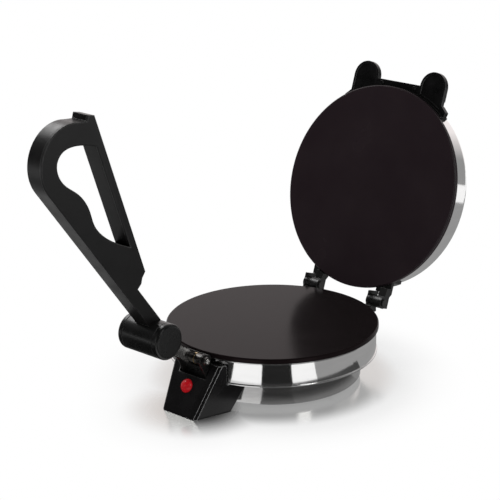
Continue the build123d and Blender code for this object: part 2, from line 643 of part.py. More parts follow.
def housing_cover_screw_x():
    """Places of the housing cover's two screws, close to the side walls."""
    half = HOUSING_HALF_W + HOUSING_FLARE * (HOUSING_COVER_SCREW_Y - HOUSING_FOOT_Y)
    return (-half + HOUSING_WALL + 3, half - HOUSING_WALL - 3)


def housing_cover():
    """Plate that closes the housing, just above the table."""
    z0 = TABLE_Z + 0.4
    shape = housing_block(HOUSING_WALL + 0.2, TABLE_Z - 1)
    shape &= box(-WIDE, WIDE, HOUSING_FOOT_Y, -PAN_R / 2, z0, z0 + HOUSING_COVER_T)
    shape -= post(PAN_R + CURVE_GAP + HOUSING_WALL + 0.2, TABLE_Z - 2, 0)
    for x in housing_cover_screw_x():
        shape -= post(SMALL_SCREW_R + RUN, TABLE_Z, TABLE_Z + 12, x, HOUSING_COVER_SCREW_Y)
        shape -= post(2.8, TABLE_Z, z0 + 1.3, x, HOUSING_COVER_SCREW_Y)
    return shape


def indicator_lens():
    """Red domed lens with a stem through the housing's face."""
    sphere_r = (LENS_R ** 2 + LENS_H ** 2) / (2 * LENS_H)
    dome = Pos(0, 0, LENS_H - sphere_r) * Sphere(sphere_r)
    dome &= post(LENS_R, 0, LENS_H + 1)
    stem = post(LENS_STEM_R, -LENS_STEM_L, 0)
    return face_place() * (dome + stem)


def indicator_lamp():
    """Lamp holder clipped over the lens stem behind the face."""
    seat = -HOUSING_WALL
    shape = post(LAMP_R, seat - LAMP_L, seat) - post(LENS_STEM_R + SLIP, -LENS_STEM_L - 0.2, 1)
    for x in (-2.5, 2.5):
        shape += post(0.7, seat - LAMP_L - 5, seat - LAMP_L, x, 0)
    return face_place() * shape


# --- Press lever ---------------------------------------------------------------------------------------
def link_place(x):
    """Frame on the link's side: origin at the foot pivot, x along the link, y towards its back."""
    dy, dz = ROLLER_Y - PIVOT_Y, ROLLER_Z - PIVOT_Z
    length = hypot(dy, dz)
    return Plane(origin=(x, PIVOT_Y, PIVOT_Z), x_dir=(0, dy / length, dz / length), z_dir=(-1, 0, 0))


def link_length():
    """Pivot to pivot."""
    return hypot(ROLLER_Y - PIVOT_Y, ROLLER_Z - PIVOT_Z)


def press_link():
    """Chrome channel: two flanges with rounded upper ends, joined by a web at the back."""
    length = link_length()
    corners = [(-LINK_TAIL, -LINK_FRONT + 1.5), (-LINK_TAIL + 1.5, -LINK_FRONT), (length, -LINK_FRONT),
               (length, LINK_BACK), (-4.0, LINK_BACK), HEEL]
    shape = None
    for x1 in (LINK_HALF_W, -LINK_HALF_W + LINK_T):
        frame = link_place(x1)
        flange = extrude(frame * Polygon(*corners, align=None), amount=LINK_T, dir=(-1, 0, 0))
        flange += extrude(frame * Pos(length, 0) * Circle(LINK_FRONT), amount=LINK_T, dir=(-1, 0, 0))
        shape = flange if shape is None else shape + flange
    frame = link_place(LINK_HALF_W)
    web_end = length - LINK_FRONT
    strip = Pos((WEB_START + web_end) / 2, LINK_BACK - LINK_T / 2) * Rectangle(web_end - WEB_START, LINK_T)
    web = extrude(frame * strip, amount=2 * LINK_HALF_W, dir=(-1, 0, 0))
    shape += web
    for y, z in ((PIVOT_Y, PIVOT_Z), (ROLLER_Y, ROLLER_Z)):
        shape -= rod(BUSH_R, -THROUGH, THROUGH, y, z)
    return shape


def link_bushes():
    """Flanged bushes in the link's four holes."""
    bushes = []
    for y, z in ((PIVOT_Y, PIVOT_Z), (ROLLER_Y, ROLLER_Z)):
        for side in (-1, 1):
            ends = sorted((side * (LINK_HALF_W - LINK_T - 1.0), side * (LINK_HALF_W + BUSH_PROUD)))
            bushes.append(rod(BUSH_R - SLIP, *ends, y, z) - rod(PIN_R + RUN, -THROUGH, THROUGH, y, z))
    return Compound(children=bushes)


def lever_bracket():
    """Steel bracket bolted to the pan: foot, wall and two cheeks that carry the pivot bolt."""
    front, thick = BRACKET_WALL_Y, BRACKET_WALL_T
    low, high = BRACKET_FOOT_Z
    half = BRACKET_OUT
    foot_y = bracket_seat_y()
    shape = box(-half, half, front, front + thick, high, BRACKET_WALL_TOP)
    shape += box(-half, half, front, foot_y, high, high + thick)
    shape += box(-half, half, foot_y - thick, foot_y, low, high + thick)
    for x0 in (BRACKET_HALF_W, -half):
        cheek = side_plate([(PIVOT_Y - BRACKET_EYE_R + 0.3, PIVOT_Z - 2),
                            (front - 5.5, HOUSING_TOP_Z - NOTCH_DEPTH + 1),
                            (front - 5.5, high), (foot_y, low), (foot_y, high + thick),
                            (front + thick, high + thick), (front + thick, BRACKET_WALL_TOP),
                            (PIVOT_Y + 3.0, PIVOT_Z + BRACKET_EYE_R - 0.9)], x0, x0 + BRACKET_T)
        shape += cheek + rod(BRACKET_EYE_R, x0, x0 + BRACKET_T, PIVOT_Y, PIVOT_Z)
    shape -= rod(PIN_R + RUN, -THROUGH, THROUGH, PIVOT_Y, PIVOT_Z)
    for x in (-BRACKET_BOLT_X, BRACKET_BOLT_X):
        shape -= bracket_bolt_hole(x)
    return shape


def bracket_bolts():
    """Bolts and nuts that hold the bracket and the housing on the pan."""
    head_y = bracket_seat_y() - BRACKET_WALL_T
    nut_y = -PAN_R + SHEET + 0.6
    pieces = []
    for x in (-BRACKET_BOLT_X, BRACKET_BOLT_X):
        head = Location(Plane(origin=(x, head_y, BRACKET_BOLT_Z), x_dir=(1, 0, 0), z_dir=(0, -1, 0)))
        pieces.append(head * (hexagon(BRACKET_BOLT_AF, 3.0) + post(BRACKET_BOLT_R, head_y - nut_y - 5, 0)))
        nut = hexagon(BRACKET_BOLT_AF, 3.2) - post(BRACKET_BOLT_R + RUN, -1, 6)
        seat = Plane(origin=(x, nut_y + 3.2, BRACKET_BOLT_Z), x_dir=(1, 0, 0), z_dir=(0, -1, 0))
        pieces.append(Location(seat) * nut)
    return Compound(children=pieces)


def along_x(x):
    """Frame at the foot pivot with z pointing to +X."""
    return Location(Plane(origin=(x, PIVOT_Y, PIVOT_Z), x_dir=(0, 1, 0), z_dir=(1, 0, 0)))


def pivot_bolt():
    """Shoulder bolt through the cheeks, the spacers and the link's foot, threaded for the nut."""
    shoulder = along_x(0) * post(PIN_R, -BRACKET_OUT - WASHER_T, BRACKET_OUT)
    thread = along_x(0) * post(THREAD_R, 0, BRACKET_OUT + WASHER_T + NUT_H + BOLT_PROUD)
    thread = fillet(thread.edges().sort_by(Axis.X)[-1], THREAD_R * 0.6)
    head = along_x(-BRACKET_OUT - WASHER_T - BOLT_HEAD_H) * hexagon(BOLT_HEAD_AF, BOLT_HEAD_H)
    return shoulder + thread + head


def pivot_nut():
    """Nut on the visible side."""
    nut = hexagon(NUT_AF, NUT_H) & (Pos(0, 0, NUT_H / 2) * chamfer(
        Cylinder(NUT_AF / sqrt(3), NUT_H).edges().sort_by(Axis.Z)[-1], 0.7))
    return along_x(BRACKET_OUT + WASHER_T) * (nut - post(THREAD_R + RUN, -1, NUT_H + 1))


def pivot_washers():
    """Washers under the bolt's head and the nut, and the two spacers beside the link."""
    bush_end = LINK_HALF_W + BUSH_PROUD + SPACER_GAP
    spacer_l = BRACKET_HALF_W - bush_end - SPACER_GAP / 3
    spacer = ring(WASHER_R, PIN_R + RUN, 0, spacer_l)
    pieces = [along_x(BRACKET_OUT) * ring(WASHER_R, THREAD_R + RUN, 0, WASHER_T)]
    pieces.append(along_x(-BRACKET_OUT - WASHER_T) * ring(WASHER_R, PIN_R + RUN, 0, WASHER_T))
    pieces += [along_x(bush_end) * spacer, along_x(-bush_end - spacer_l) * spacer]
    return Compound(children=pieces)


def link_slot():
    """Room for the link in the barrel, from the handle at rest to the handle turned full."""
    rest = degrees(atan2(PIVOT_Z - ROLLER_Z, PIVOT_Y - ROLLER_Y))
    reach = ROLLER_R + 3
    low, high = -LINK_FRONT - SLOT_GAP, LINK_BACK + SLOT_GAP
    strip = Pos(reach / 2, (low + high) / 2) * Rectangle(reach, high - low)
    fan = [polar(2 * reach, rest + HANDLE_TURN * i / 3) for i in range(4)]
    outline = Circle(LINK_FRONT + SLOT_GAP) + Polygon((0, 0), *fan, align=None)
    outline += Rot(0, 0, rest) * strip + Rot(0, 0, rest + HANDLE_TURN) * strip
    return extrude(Plane.YZ.offset(-LINK_ROOM) * outline, amount=2 * LINK_ROOM, dir=(1, 0, 0))


def roller_barrel():
    """Barrel at the handle's foot, with a slot for the link and a socket for the neck."""
    y, z = ROLLER_Y, ROLLER_Z
    shape = rod(ROLLER_R, -ROLLER_HALF_L, ROLLER_HALF_L, y, z)
    shape -= Pos(0, y, z) * link_slot()
    for side in (-1, 1):
        ends = sorted((side * ROLLER_CHEEK, side * (ROLLER_HALF_L + 1)))
        shape -= rod(ROLLER_R - ROLLER_WALL, *ends, y, z) - rod(PIN_BOSS_R, *ends, y, z)
        ends = sorted((side * (ROLLER_HALF_L - CAP_SPIGOT_L), side * (ROLLER_HALF_L + 1)))
        shape -= rod(PIN_BOSS_R + 1, *ends, y, z)
    shape -= rod(PIN_R + SLIP, -THROUGH, THROUGH, y, z)
    return shape - neck_block(NECK_FOOT_U, 40)


def roller_pin():
    """Pin that the link turns on, pushed into the barrel."""
    reach = ROLLER_HALF_L - CAP_SPIGOT_L
    return rod(PIN_R, -reach, reach, ROLLER_Y, ROLLER_Z)


def end_cap(side):
    """Domed cap with a spigot in the barrel's end and a seam beside it."""
    seat = (side * ROLLER_HALF_L, ROLLER_Y, ROLLER_Z)
    frame = Location(Plane(origin=seat, x_dir=(0, 1, 0), z_dir=(side, 0, 0)))
    shape = fillet(post(ROLLER_R, 0, CAP_L).edges().sort_by(Axis.Z)[-1], CAP_ROUND)
    shape -= ring(ROLLER_R + 1, ROLLER_R - SEAM_DEPTH, -1, SEAM_W)
    shape += ring(ROLLER_R - ROLLER_WALL - SLIP, ROLLER_R - ROLLER_WALL - 2.5, -CAP_SPIGOT_L, 0.5)
    return frame * shape


# --- Handle ---------------------------------------------------------------------------------------------
def handle_plane(x):
    """Frame on the handle's side: x is u, along the front edge, and y is n, to the rear."""
    tilt = radians(HANDLE_TILT)
    return Plane(origin=(x, ROLLER_Y, ROLLER_Z), x_dir=(0, -cos(tilt), sin(tilt)), z_dir=(-1, 0, 0))


def neck_block(u0, u1):
    """The neck's bar between two distances from the roller's axis."""
    middle = Pos((u0 + u1) / 2, (HANDLE_FRONT_N + NECK_N) / 2)
    return extrude(handle_plane(HANDLE_HALF_T) * middle * Rectangle(u1 - u0, NECK_N - HANDLE_FRONT_N),
                   amount=2 * HANDLE_HALF_T, dir=(-1, 0, 0))


def handle_outline():
    """Side view of the handle without its finger hole."""
    end = atan2(BEAK[0][1] - HANDLE_FRONT_N - END_R, BEAK[0][0] - END_U)
    middle = (end - radians(90)) / 2
    centre_n = HANDLE_FRONT_N + END_R
    on_end = (END_U + END_R * cos(end), centre_n + END_R * sin(end))
    on_middle = (END_U + END_R * cos(middle), centre_n + END_R * sin(middle))
    edges = Polyline(NOSE[3], (NECK_FOOT_U, NECK_N), (NECK_FOOT_U, HANDLE_FRONT_N), (END_U, HANDLE_FRONT_N))
    edges += ThreePointArc((END_U, HANDLE_FRONT_N), on_middle, on_end)
    edges += Polyline(on_end, BEAK[1], BEAK[2], BEAK[3], *NOSE)
    return make_face(edges)


def bar_line(u):
    """The rear edge's n at u."""
    (u0, n0), (u1, n1) = NOSE[0], BEAK[3]
    return n0 + (u - u0) * (n1 - n0) / (u1 - u0)


def finger_hole(grow=0.0):
    """Finger hole, made larger by grow: a straight rear edge, a wavy front edge, a round top."""
    slope = hypot(NOSE[0][0] - BEAK[3][0], NOSE[0][1] - BEAK[3][1]) / (BEAK[3][0] - NOSE[0][0])
    low = (HOLE_EDGE[0][0], bar_line(HOLE_EDGE[0][0]) - HOLE_BAR * slope)
    high = (HOLE_TOP[-1][0], bar_line(HOLE_TOP[-1][0]) - HOLE_BAR * slope)
    points = [low, *HOLE_EDGE[1:], *HOLE_TOP[:-1], high]
    moved = []
    for i, (u, n) in enumerate(points):
        before = points[i - 1] if i else high
        after = points[i + 1] if i + 1 < len(points) else low
        du, dn = after[0] - before[0], after[1] - before[1]
        stretch = 1.6 * grow if i in (0, len(points) - 1) else grow
        moved.append((u + stretch * dn / hypot(du, dn), n - stretch * du / hypot(du, dn)))
    return make_face(Spline(*moved) + Line(moved[-1], moved[0]))


def handle_slab(face, x1, thick):
    """Side view made solid, from x1 towards -X."""
    return extrude(handle_plane(x1) * face, amount=thick, dir=(-1, 0, 0))


def handle_screw_places():
    """Frames of the handle's screws, heads on the -X side, z pointing out."""
    flat = handle_plane(-HANDLE_HALF_T)
    return [Location(Plane(origin=flat.from_local_coords((u, n, 0)), x_dir=flat.x_dir, z_dir=(-1, 0, 0)))
            for u, n in HANDLE_BOSSES]


def handle_body():
    """Deep tray with ribs and screw bosses, open towards the cover."""
    seam = HANDLE_HALF_T - HANDLE_COVER_T
    depth = HANDLE_HALF_T + seam
    outline = handle_outline()
    hole = finger_hole()
    shape = handle_slab(outline, seam, depth)
    inner = offset(outline, amount=-HANDLE_WALL, kind=Kind.INTERSECTION)
    around_hole = finger_hole(HANDLE_WALL)
    hollow = handle_slab(inner, seam, depth - HANDLE_WALL)
    hollow -= handle_slab(around_hole, seam, depth - HANDLE_WALL)
    hollow -= neck_block(0, NECK_FOOT_U + 16)
    flat = handle_plane(seam)
    for u, n in HANDLE_BOSSES:
        hollow -= extrude(flat * Pos(u, n) * Circle(HANDLE_BOSS_R), amount=depth, dir=(-1, 0, 0))
    shape -= hollow
    shape -= handle_slab(hole, HANDLE_HALF_T + 1, 2 * HANDLE_HALF_T + 2)
    for place in handle_screw_places():
        shape -= place * post(SMALL_SCREW_R + RUN, -HANDLE_SCREW_L - 8, 1)
        shape -= place * post(3.3, -2.0, 1)
    return chamfer(long_front_edges(shape, -HANDLE_HALF_T), 1.4)


def long_front_edges(shape, x):
    """The straight outer front edge at one side of the handle."""
    length = END_U - NECK_FOOT_U
    return [e for e in shape.edges() if abs(e.center().X - x) < 0.01 and abs(e.length - length) < 1]


def handle_cover():
    """Flat cover over the tray's open side."""
    shape = handle_slab(handle_outline(), HANDLE_HALF_T, HANDLE_COVER_T)
    shape -= handle_slab(finger_hole(), HANDLE_HALF_T + 1, HANDLE_COVER_T + 2)
    inner = handle_plane(HANDLE_HALF_T)
    for u, n in HANDLE_BOSSES:
        hole = inner * Pos(u, n, 0.9) * Circle(SMALL_SCREW_R + RUN)
        shape -= extrude(hole, amount=HANDLE_COVER_T, dir=(-1, 0, 0))
    edges = [e for e in shape.edges() if abs(e.center().X - HANDLE_HALF_T) < 0.01 and e.length > 3]
    return chamfer(edges, 0.7)


def handle_screws():
    """Six screws through the tray into the cover."""
    one = screw(SMALL_SCREW_R, HANDLE_SCREW_L, 3.0, 1.8)
    return Compound(children=[place * Pos(0, 0, -2.0) * one for place in handle_screw_places()])


# --- Lid ---------------------------------------------------------------------------------------------------
def lid_shell():
    """Chrome cover over the lid plate, with a raised disc pressed in its top."""
    r, t = SHELL_R, SHEET
    outer = fillet(post(r, LID_BACK, LID_TOP).edges().sort_by(Axis.Z)[-1], SHELL_ROUND)
    inner = fillet(post(r - t, LID_BACK - 1, LID_TOP - t).edges().sort_by(Axis.Z)[-1], SHELL_ROUND - t)
    dish = [(0, LID_TOP - t), (DISH_R + DISH_RAMP, LID_TOP - t), (DISH_R, LID_TOP + DISH_H),
            (0, LID_TOP + DISH_H)]
    under = [(0, LID_TOP - t - 1), (DISH_R + DISH_RAMP - 1.2, LID_TOP - t - 1),
             (DISH_R - 0.6, LID_TOP + DISH_H - t), (0, LID_TOP + DISH_H - t)]
    shape = outer + spun(dish) - inner - spun(under)
    shape += (Pos(0, 0, LID_BACK + SHELL_BEAD_R) * Torus(r - 0.2, SHELL_BEAD_R)) - post(r - t, 0, LID_TOP)
    for angle in tie_angles():
        x, y = polar(TIE_PITCH_R, angle)
        shape -= post(TIE_SCREW_R + RUN, LID_TOP - 3, LID_TOP + 3, x, -y)
    for place in skirt_screw_places() + lid_arm_screw_places():
        shape -= place * post(SMALL_SCREW_R + RUN, -12, 2)
    return shape


def ear(side):
    """Rounded tab of the front bracket, as seen from above."""
    middle = (EAR_IN + EAR_OUT) / 2
    half = (EAR_OUT - EAR_IN) / 2
    centre_y = -EAR_REACH + half
    tab = Pos(side * middle, centre_y) * Circle(half)
    inner_y = EAR_CORE - SHELL_R
    tab += Pos(side * middle, (centre_y + inner_y) / 2) * Rectangle(2 * half, inner_y - centre_y)
    return tab


def lid_front_bracket():
    """Black bracket on the lid's front: skirt, bar, two ears and two side lugs."""
    inner_y = EAR_CORE - SHELL_R
    flat = Rectangle(2 * EAR_IN + 8, BAR_REACH + inner_y)
    plan = Pos(0, (inner_y - BAR_REACH) / 2) * flat
    for side in (-1, 1):
        plan += ear(side)
        root_y = LUG_CORE - SHELL_R
        lug = Polygon((side * 20, root_y), (side * (EAR_OUT - 6), -LUG_REACH - 8),
                      (side * EAR_OUT, -LUG_REACH - 7), (side * LUG_X, -LUG_REACH),
                      (side * (LUG_X - 1.5), -LUG_REACH + 5.5), (side * 60, root_y), align=None)
        plan += lug
    shape = extrude(Plane.XY.offset(EAR_Z) * plan, amount=EAR_T, dir=(0, 0, 1))
    skirt_r = SHELL_R + SLIP
    half = SKIRT_HALF_ANGLE
    section = Pos(skirt_r + SKIRT_T / 2, sum(SKIRT_Z) / 2) * Rectangle(SKIRT_T, SKIRT_Z[1] - SKIRT_Z[0])
    skirt = revolve(Plane.XZ * section, Axis.Z, revolution_arc=2 * half)
    shape += Rot(0, 0, -90 - half) * skirt
    shape -= post(skirt_r, 0, 2 * LID_TOP)
    rim = offset(ear(1), amount=-EAR_RIM) - Circle(PLATE_R + EAR_RIM)
    for side in (1, -1):
        face = rim if side == 1 else mirror(rim, Plane.YZ)
        shape -= extrude(Plane.XY.offset(EAR_Z) * face, amount=EAR_POCKET, dir=(0, 0, 1))
        upper = Plane.XY.offset(EAR_Z + EAR_T - EAR_POCKET) * face
        shape -= extrude(upper, amount=EAR_POCKET, dir=(0, 0, 1))
        shape += post(PEG_R, EAR_Z - PEG_H, EAR_Z, side * PEG_X, -BAR_REACH + 4.4)
    for place in skirt_screw_places():
        shape -= place * post(SMALL_SCREW_R + RUN, -8, 12)
        shape -= place * post(3.4, 0, 12)
    return shape


def skirt_screw_places():
    """Frames of the front bracket's four screws, on the skirt, z pointing out."""
    places = []
    for angle in (-90 - SKIRT_SCREW_ANGLE, -90 - 3.5, -90 + 3.5, -90 + SKIRT_SCREW_ANGLE):
        height = SKIRT_Z[1] - 2.2
        x, y = polar(SHELL_R + SLIP + SKIRT_T, angle)
        out = (cos(radians(angle)), sin(radians(angle)), 0)
        places.append(Location(Plane(origin=(x, y, height), x_dir=(0, 0, 1), z_dir=out)))
    return places


# --- Hinges ------------------------------------------------------------------------------------------------
def knuckle_span(hinge_x):
    """The base knuckle's two ends."""
    return hinge_x - HINGE_HALF_W, hinge_x - HINGE_SPLIT


def eye_span(hinge_x):
    """The lid arm's eye, its two ends."""
    return hinge_x + HINGE_SPLIT, hinge_x + HINGE_HALF_W


def place_on_curve(x, r, z):
    """Frame on an upright cylinder's back at x, z pointing out."""
    angle = degrees(atan2(sqrt(r * r - x * x), x))
    px, py = polar(r, angle)
    out = (cos(radians(angle)), sin(radians(angle)), 0)
    return Location(Plane(origin=(px, py, z), x_dir=(0, 0, 1), z_dir=out))


def base_hinge_screw_places(hinge_x):
    """Frames of a base hinge's two screws, on its foot plate, z pointing out."""
    r = BAND_R + FOOT_PLATE_T
    return [place_on_curve(hinge_x + 6.0, r, z) for z in (FOOT_PLATE_Z[0] + 5, FOOT_PLATE_Z[1] - 4.5)]


def base_hinge(hinge_x):
    """Hinge bracket on the band: foot plate, arm, ringed knuckle and the tab that stops the lid."""
    x0, x1 = knuckle_span(hinge_x)
    left, right = hinge_x - HINGE_HALF_W, hinge_x + HINGE_HALF_W
    low, high = FOOT_PLATE_Z
    shape = ring(BAND_R + FOOT_PLATE_T, BAND_R + SLIP, low, high) & box(left, right, 0, HINGE_Y, low, high)
    shape += box(x0, x1, 0, HINGE_Y, *ARM_Z) - post(BAND_R + BEAD_R, TABLE_Z, 0)
    shape += rod(KNUCKLE_R, x0, x1, HINGE_Y, HINGE_Z)
    gusset = [(HINGE_Y - 12, ARM_Z[0]), (HINGE_Y + 5, HINGE_Z - 5), (HINGE_Y - 5, HINGE_Z)]
    shape += side_plate(gusset, x0, x1)
    shape -= box(x0 - 1, x1 + 1, 0, PLATE_R + 0.4, ARM_Z[1] + 0.1, 20)
    tilt = radians(LID_OPEN - 90)
    up = (sin(tilt), cos(tilt))
    across = (cos(tilt), -sin(tilt))
    tall = HINGE_Y - PAD_REACH - STOP_GAP
    corners = [(HINGE_Y + a * across[0] + b * up[0], HINGE_Z + a * across[1] + b * up[1])
               for a, b in ((-5.5, 0), (-5.5, tall), (12.0, tall), (12.0, tall - 3), (5.5, 0))]
    shape += side_plate(corners, x0, x0 + STOP_T)
    pitch = (x1 - x0 - STOP_T) / (RING_COUNT + 1)
    for i in range(RING_COUNT):
        x = x0 + STOP_T + pitch * (i + 1)
        groove = rod(KNUCKLE_R + 2, x - RING_W / 2, x + RING_W / 2, HINGE_Y, HINGE_Z)
        groove -= rod(KNUCKLE_R - RING_DEPTH, x - RING_W, x + RING_W, HINGE_Y, HINGE_Z)
        shape -= groove & box(x - 2, x + 2, HINGE_Y - 20, HINGE_Y + 20, HINGE_Z - 3, HINGE_Z + 20)
    shape -= rod(HINGE_PIN_R + SLIP, left - 5, right + 5, HINGE_Y, HINGE_Z)
    for place in base_hinge_screw_places(hinge_x):
        shape -= place * post(TIE_SCREW_R + RUN, -8, 8)
    return shape


def hinge_pin(hinge_x):
    """Pin through a knuckle and its arm, with a head at each end."""
    x0, x1 = hinge_x - HINGE_HALF_W, hinge_x + HINGE_HALF_W
    gap = 0.2
    shape = rod(HINGE_PIN_R, x0 - gap - HINGE_HEAD_T, x1 + gap + HINGE_HEAD_T, HINGE_Y, HINGE_Z)
    shape += rod(HINGE_HEAD_R, x0 - gap - HINGE_HEAD_T, x0 - gap, HINGE_Y, HINGE_Z)
    return shape + rod(HINGE_HEAD_R, x1 + gap, x1 + gap + HINGE_HEAD_T, HINGE_Y, HINGE_Z)


def lid_arm_screw_places():
    """Frames of all four lid arm screws, on the arms' foot plates, z pointing out."""
    return [place_on_curve(hinge_x - 7.0, SHELL_R + PAD_T, z)
            for hinge_x in (-HINGE_X, HINGE_X) for z in (PAD_Z[0] + 4.5, PAD_Z[1] - 4.0)]


def lid_arm(hinge_x):
    """Lid hinge arm, closed: foot plate on the shell, pad over the knuckle, narrow arm and eye."""
    x0, x1 = eye_span(hinge_x)
    left, right = hinge_x - HINGE_HALF_W, hinge_x + HINGE_HALF_W
    low, high = PAD_Z
    shape = ring(SHELL_R + PAD_T, SHELL_R + SLIP, low, high) & box(left, right, 0, HINGE_Y, low, high)
    shape += box(left, right, 0, PAD_REACH, low, low + 4) - post(SHELL_R + SLIP, -1, 2 * LID_TOP)
    inside = SHELL_R * 0.8
    back = HINGE_Z + ARM_DEPTH
    root = HINGE_Y - ARM_ROOT
    arm = side_plate([(inside, low), (root, low), (root, HINGE_Z + 1.6), (HINGE_Y - KNUCKLE_R, HINGE_Z),
                      (HINGE_Y + ARM_END, HINGE_Z), (HINGE_Y + ARM_END, back), (PAD_REACH + 4, back),
                      (PAD_REACH, low + 4), (inside, low + 4)], x0, x1)
    arm -= post(PLATE_R + CURVE_GAP, HINGE_Z - KNUCKLE_R, low)
    arm += rod(KNUCKLE_R, x0, x1, HINGE_Y, HINGE_Z)
    shape += arm - post(SHELL_R + SLIP, -1, 2 * LID_TOP)
    shape -= rod(HINGE_PIN_R + RUN, left - 5, right + 5, HINGE_Y, HINGE_Z)
    shape -= post(SHELL_R + SHELL_BEAD_R + 0.1, low - 1, LID_BACK + 2 * SHELL_BEAD_R + 0.1)
    for place in lid_arm_screw_places():
        shape -= place * post(SMALL_SCREW_R + RUN, -8, 2)
        shape -= place * post(3.3, 0, 30)
    return shape


# --- Assembly -----------------------------------------------------------------------------------------------
def build():
    """Makes every piece."""
    stack("base", lambda shape: shape, BAND_R - SHEET - CURVE_GAP, -PAN_FLANGE_TOP)
    parts["base_shell_band"] = band()
    parts["lower_pan"] = lower_pan()
    parts["bottom_cover"] = bottom_cover()
    parts["rubber_feet"] = Compound(children=[rubber_foot(x) for x in (-FOOT_X, FOOT_X)])
    cover_screw = Rot(180, 0, 0) * screw(SMALL_SCREW_R, 5.0, 3.0, 1.6)
    parts["bottom_cover_screws"] = Compound(children=[
        Pos(*polar(COVER_SCREW_R, a), COVER_TOP - SHEET) * cover_screw for a in cover_screw_angles()])
    parts["cord_grommet"] = cord_grommet()
    parts["terminal_block"] = terminal_block()
    parts["front_housing"] = front_housing()
    parts["housing_cover"] = housing_cover()
    low_screw = Rot(180, 0, 0) * screw(SMALL_SCREW_R, 8.0, 2.6, 1.1)
    parts["housing_cover_screws"] = Compound(children=[
        Pos(x, HOUSING_COVER_SCREW_Y, TABLE_Z + 1.7) * low_screw for x in housing_cover_screw_x()])
    wall_screw = screw(SMALL_SCREW_R, 7.0, 3.0, 1.8)
    parts["housing_screws"] = Compound(children=[place * wall_screw for place in housing_screw_places()])
    parts["indicator_lens"] = indicator_lens()
    parts["indicator_lamp"] = indicator_lamp()
    parts["lever_bracket"] = lever_bracket()
    parts["bracket_bolts"] = bracket_bolts()
    parts["pivot_bolt"] = pivot_bolt()
    parts["pivot_nut"] = pivot_nut()
    parts["pivot_washers"] = pivot_washers()
    parts["press_link"] = press_link()
    parts["link_bushes"] = link_bushes()
    parts["roller_barrel"] = roller_barrel()
    parts["roller_pin"] = roller_pin()
    parts["roller_cap_right"] = end_cap(1)
    parts["roller_cap_left"] = end_cap(-1)
    parts["handle_body"] = handle_body()
    parts["handle_cover"] = handle_cover()
    parts["handle_screws"] = handle_screws()
    stack("lid", lambda shape: opened(to_lid(shape)), SHELL_R - SHEET - CURVE_GAP, LID_H - SHEET)
    parts["lid_shell"] = opened(lid_shell())
    parts["lid_front_bracket"] = opened(lid_front_bracket())
    parts["lid_bracket_screws"] = opened(Compound(children=[
        place * screw(SMALL_SCREW_R, 6.0, 3.0, 1.8) for place in skirt_screw_places()]))
    parts["lid_arm_screws"] = opened(Compound(children=[
        place * screw(SMALL_SCREW_R, 6.0, 3.0, 1.8) for place in lid_arm_screw_places()]))
    hinge_screw = screw(TIE_SCREW_R, 7.0, 3.6, 2.0)
    parts["base_hinge_screws"] = Compound(children=[
        place * hinge_screw for x in (-HINGE_X, HINGE_X) for place in base_hinge_screw_places(x)])
    for side, hinge_x in (("left", -HINGE_X), ("right", HINGE_X)):
        parts["base_hinge_" + side] = base_hinge(hinge_x)
        parts["hinge_pin_" + side] = hinge_pin(hinge_x)
        parts["lid_hinge_arm_" + side] = opened(lid_arm(hinge_x))


build()
os.makedirs("parts", exist_ok=True)
for name, shape in parts.items():
    export_step(shape, "parts/" + name + ".step")
print(len(parts), "nodes")
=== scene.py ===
# %% [markdown]
# # Electric roti maker
# A countertop flat-bread press: a round heated base in a chrome band, a round heated lid that stands
# open on two hinges, and a press lever with a long black handle in front. The construction comes as a
# fixed frame of separate pieces at their real size, in metres. They could be modelled again here, but
# then the looks and the construction would drift apart. So this lesson keeps every piece's shape, gives
# each piece its finish, adds three thin rings at the rims, and sets up table, light and camera.

# %% Load the frame
import json
import math

import bmesh
import bpy
from mathutils import Matrix, Vector


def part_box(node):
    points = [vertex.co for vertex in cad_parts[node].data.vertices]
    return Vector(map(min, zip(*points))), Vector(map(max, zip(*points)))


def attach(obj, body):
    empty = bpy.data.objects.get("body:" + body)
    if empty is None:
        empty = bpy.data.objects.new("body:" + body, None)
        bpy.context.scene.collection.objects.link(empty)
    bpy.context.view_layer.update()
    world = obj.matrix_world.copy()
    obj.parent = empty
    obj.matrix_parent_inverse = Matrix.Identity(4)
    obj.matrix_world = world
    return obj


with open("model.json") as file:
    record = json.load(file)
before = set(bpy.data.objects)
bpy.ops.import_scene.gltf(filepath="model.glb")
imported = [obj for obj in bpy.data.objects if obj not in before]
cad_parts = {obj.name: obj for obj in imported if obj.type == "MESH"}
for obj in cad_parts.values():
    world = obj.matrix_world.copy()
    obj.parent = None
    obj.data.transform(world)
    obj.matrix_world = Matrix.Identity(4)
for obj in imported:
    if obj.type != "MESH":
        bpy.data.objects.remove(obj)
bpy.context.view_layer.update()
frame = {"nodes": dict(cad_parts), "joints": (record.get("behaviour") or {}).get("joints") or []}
NODES = frame["nodes"]
MM = 0.001
TABLE_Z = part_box("rubber_feet")[0].z
print("pieces in the frame:", len(NODES), "table at", round(TABLE_Z, 4))

# %% [markdown]
# ## Camera
# The product is seen from its front right corner and a little above. A camera can be aimed with a
# constraint, but then its roll stays level; here the three axes of the camera are written out from
# two angles and a small roll, so the horizon tips as little as it does in the picture.

# %% Camera
CAMERA_AZIMUTH = math.radians(42.38)
CAMERA_ELEVATION = math.radians(18.43)
CAMERA_ROLL = math.radians(-0.444)
CAMERA_PLACE = Vector((1.213, -1.366, 0.692))
CAMERA_LENS = 124.34


def camera_axes(azimuth, elevation, roll):
    """The camera's right, up and backward directions."""
    back = Vector((math.sin(azimuth) * math.cos(elevation), -math.cos(azimuth) * math.cos(elevation),
                   math.sin(elevation)))
    right = Vector((math.cos(azimuth), math.sin(azimuth), 0))
    up = back.cross(right)
    rolled_right = right * math.cos(roll) + up * math.sin(roll)
    rolled_up = up * math.cos(roll) - right * math.sin(roll)
    return rolled_right, rolled_up, back


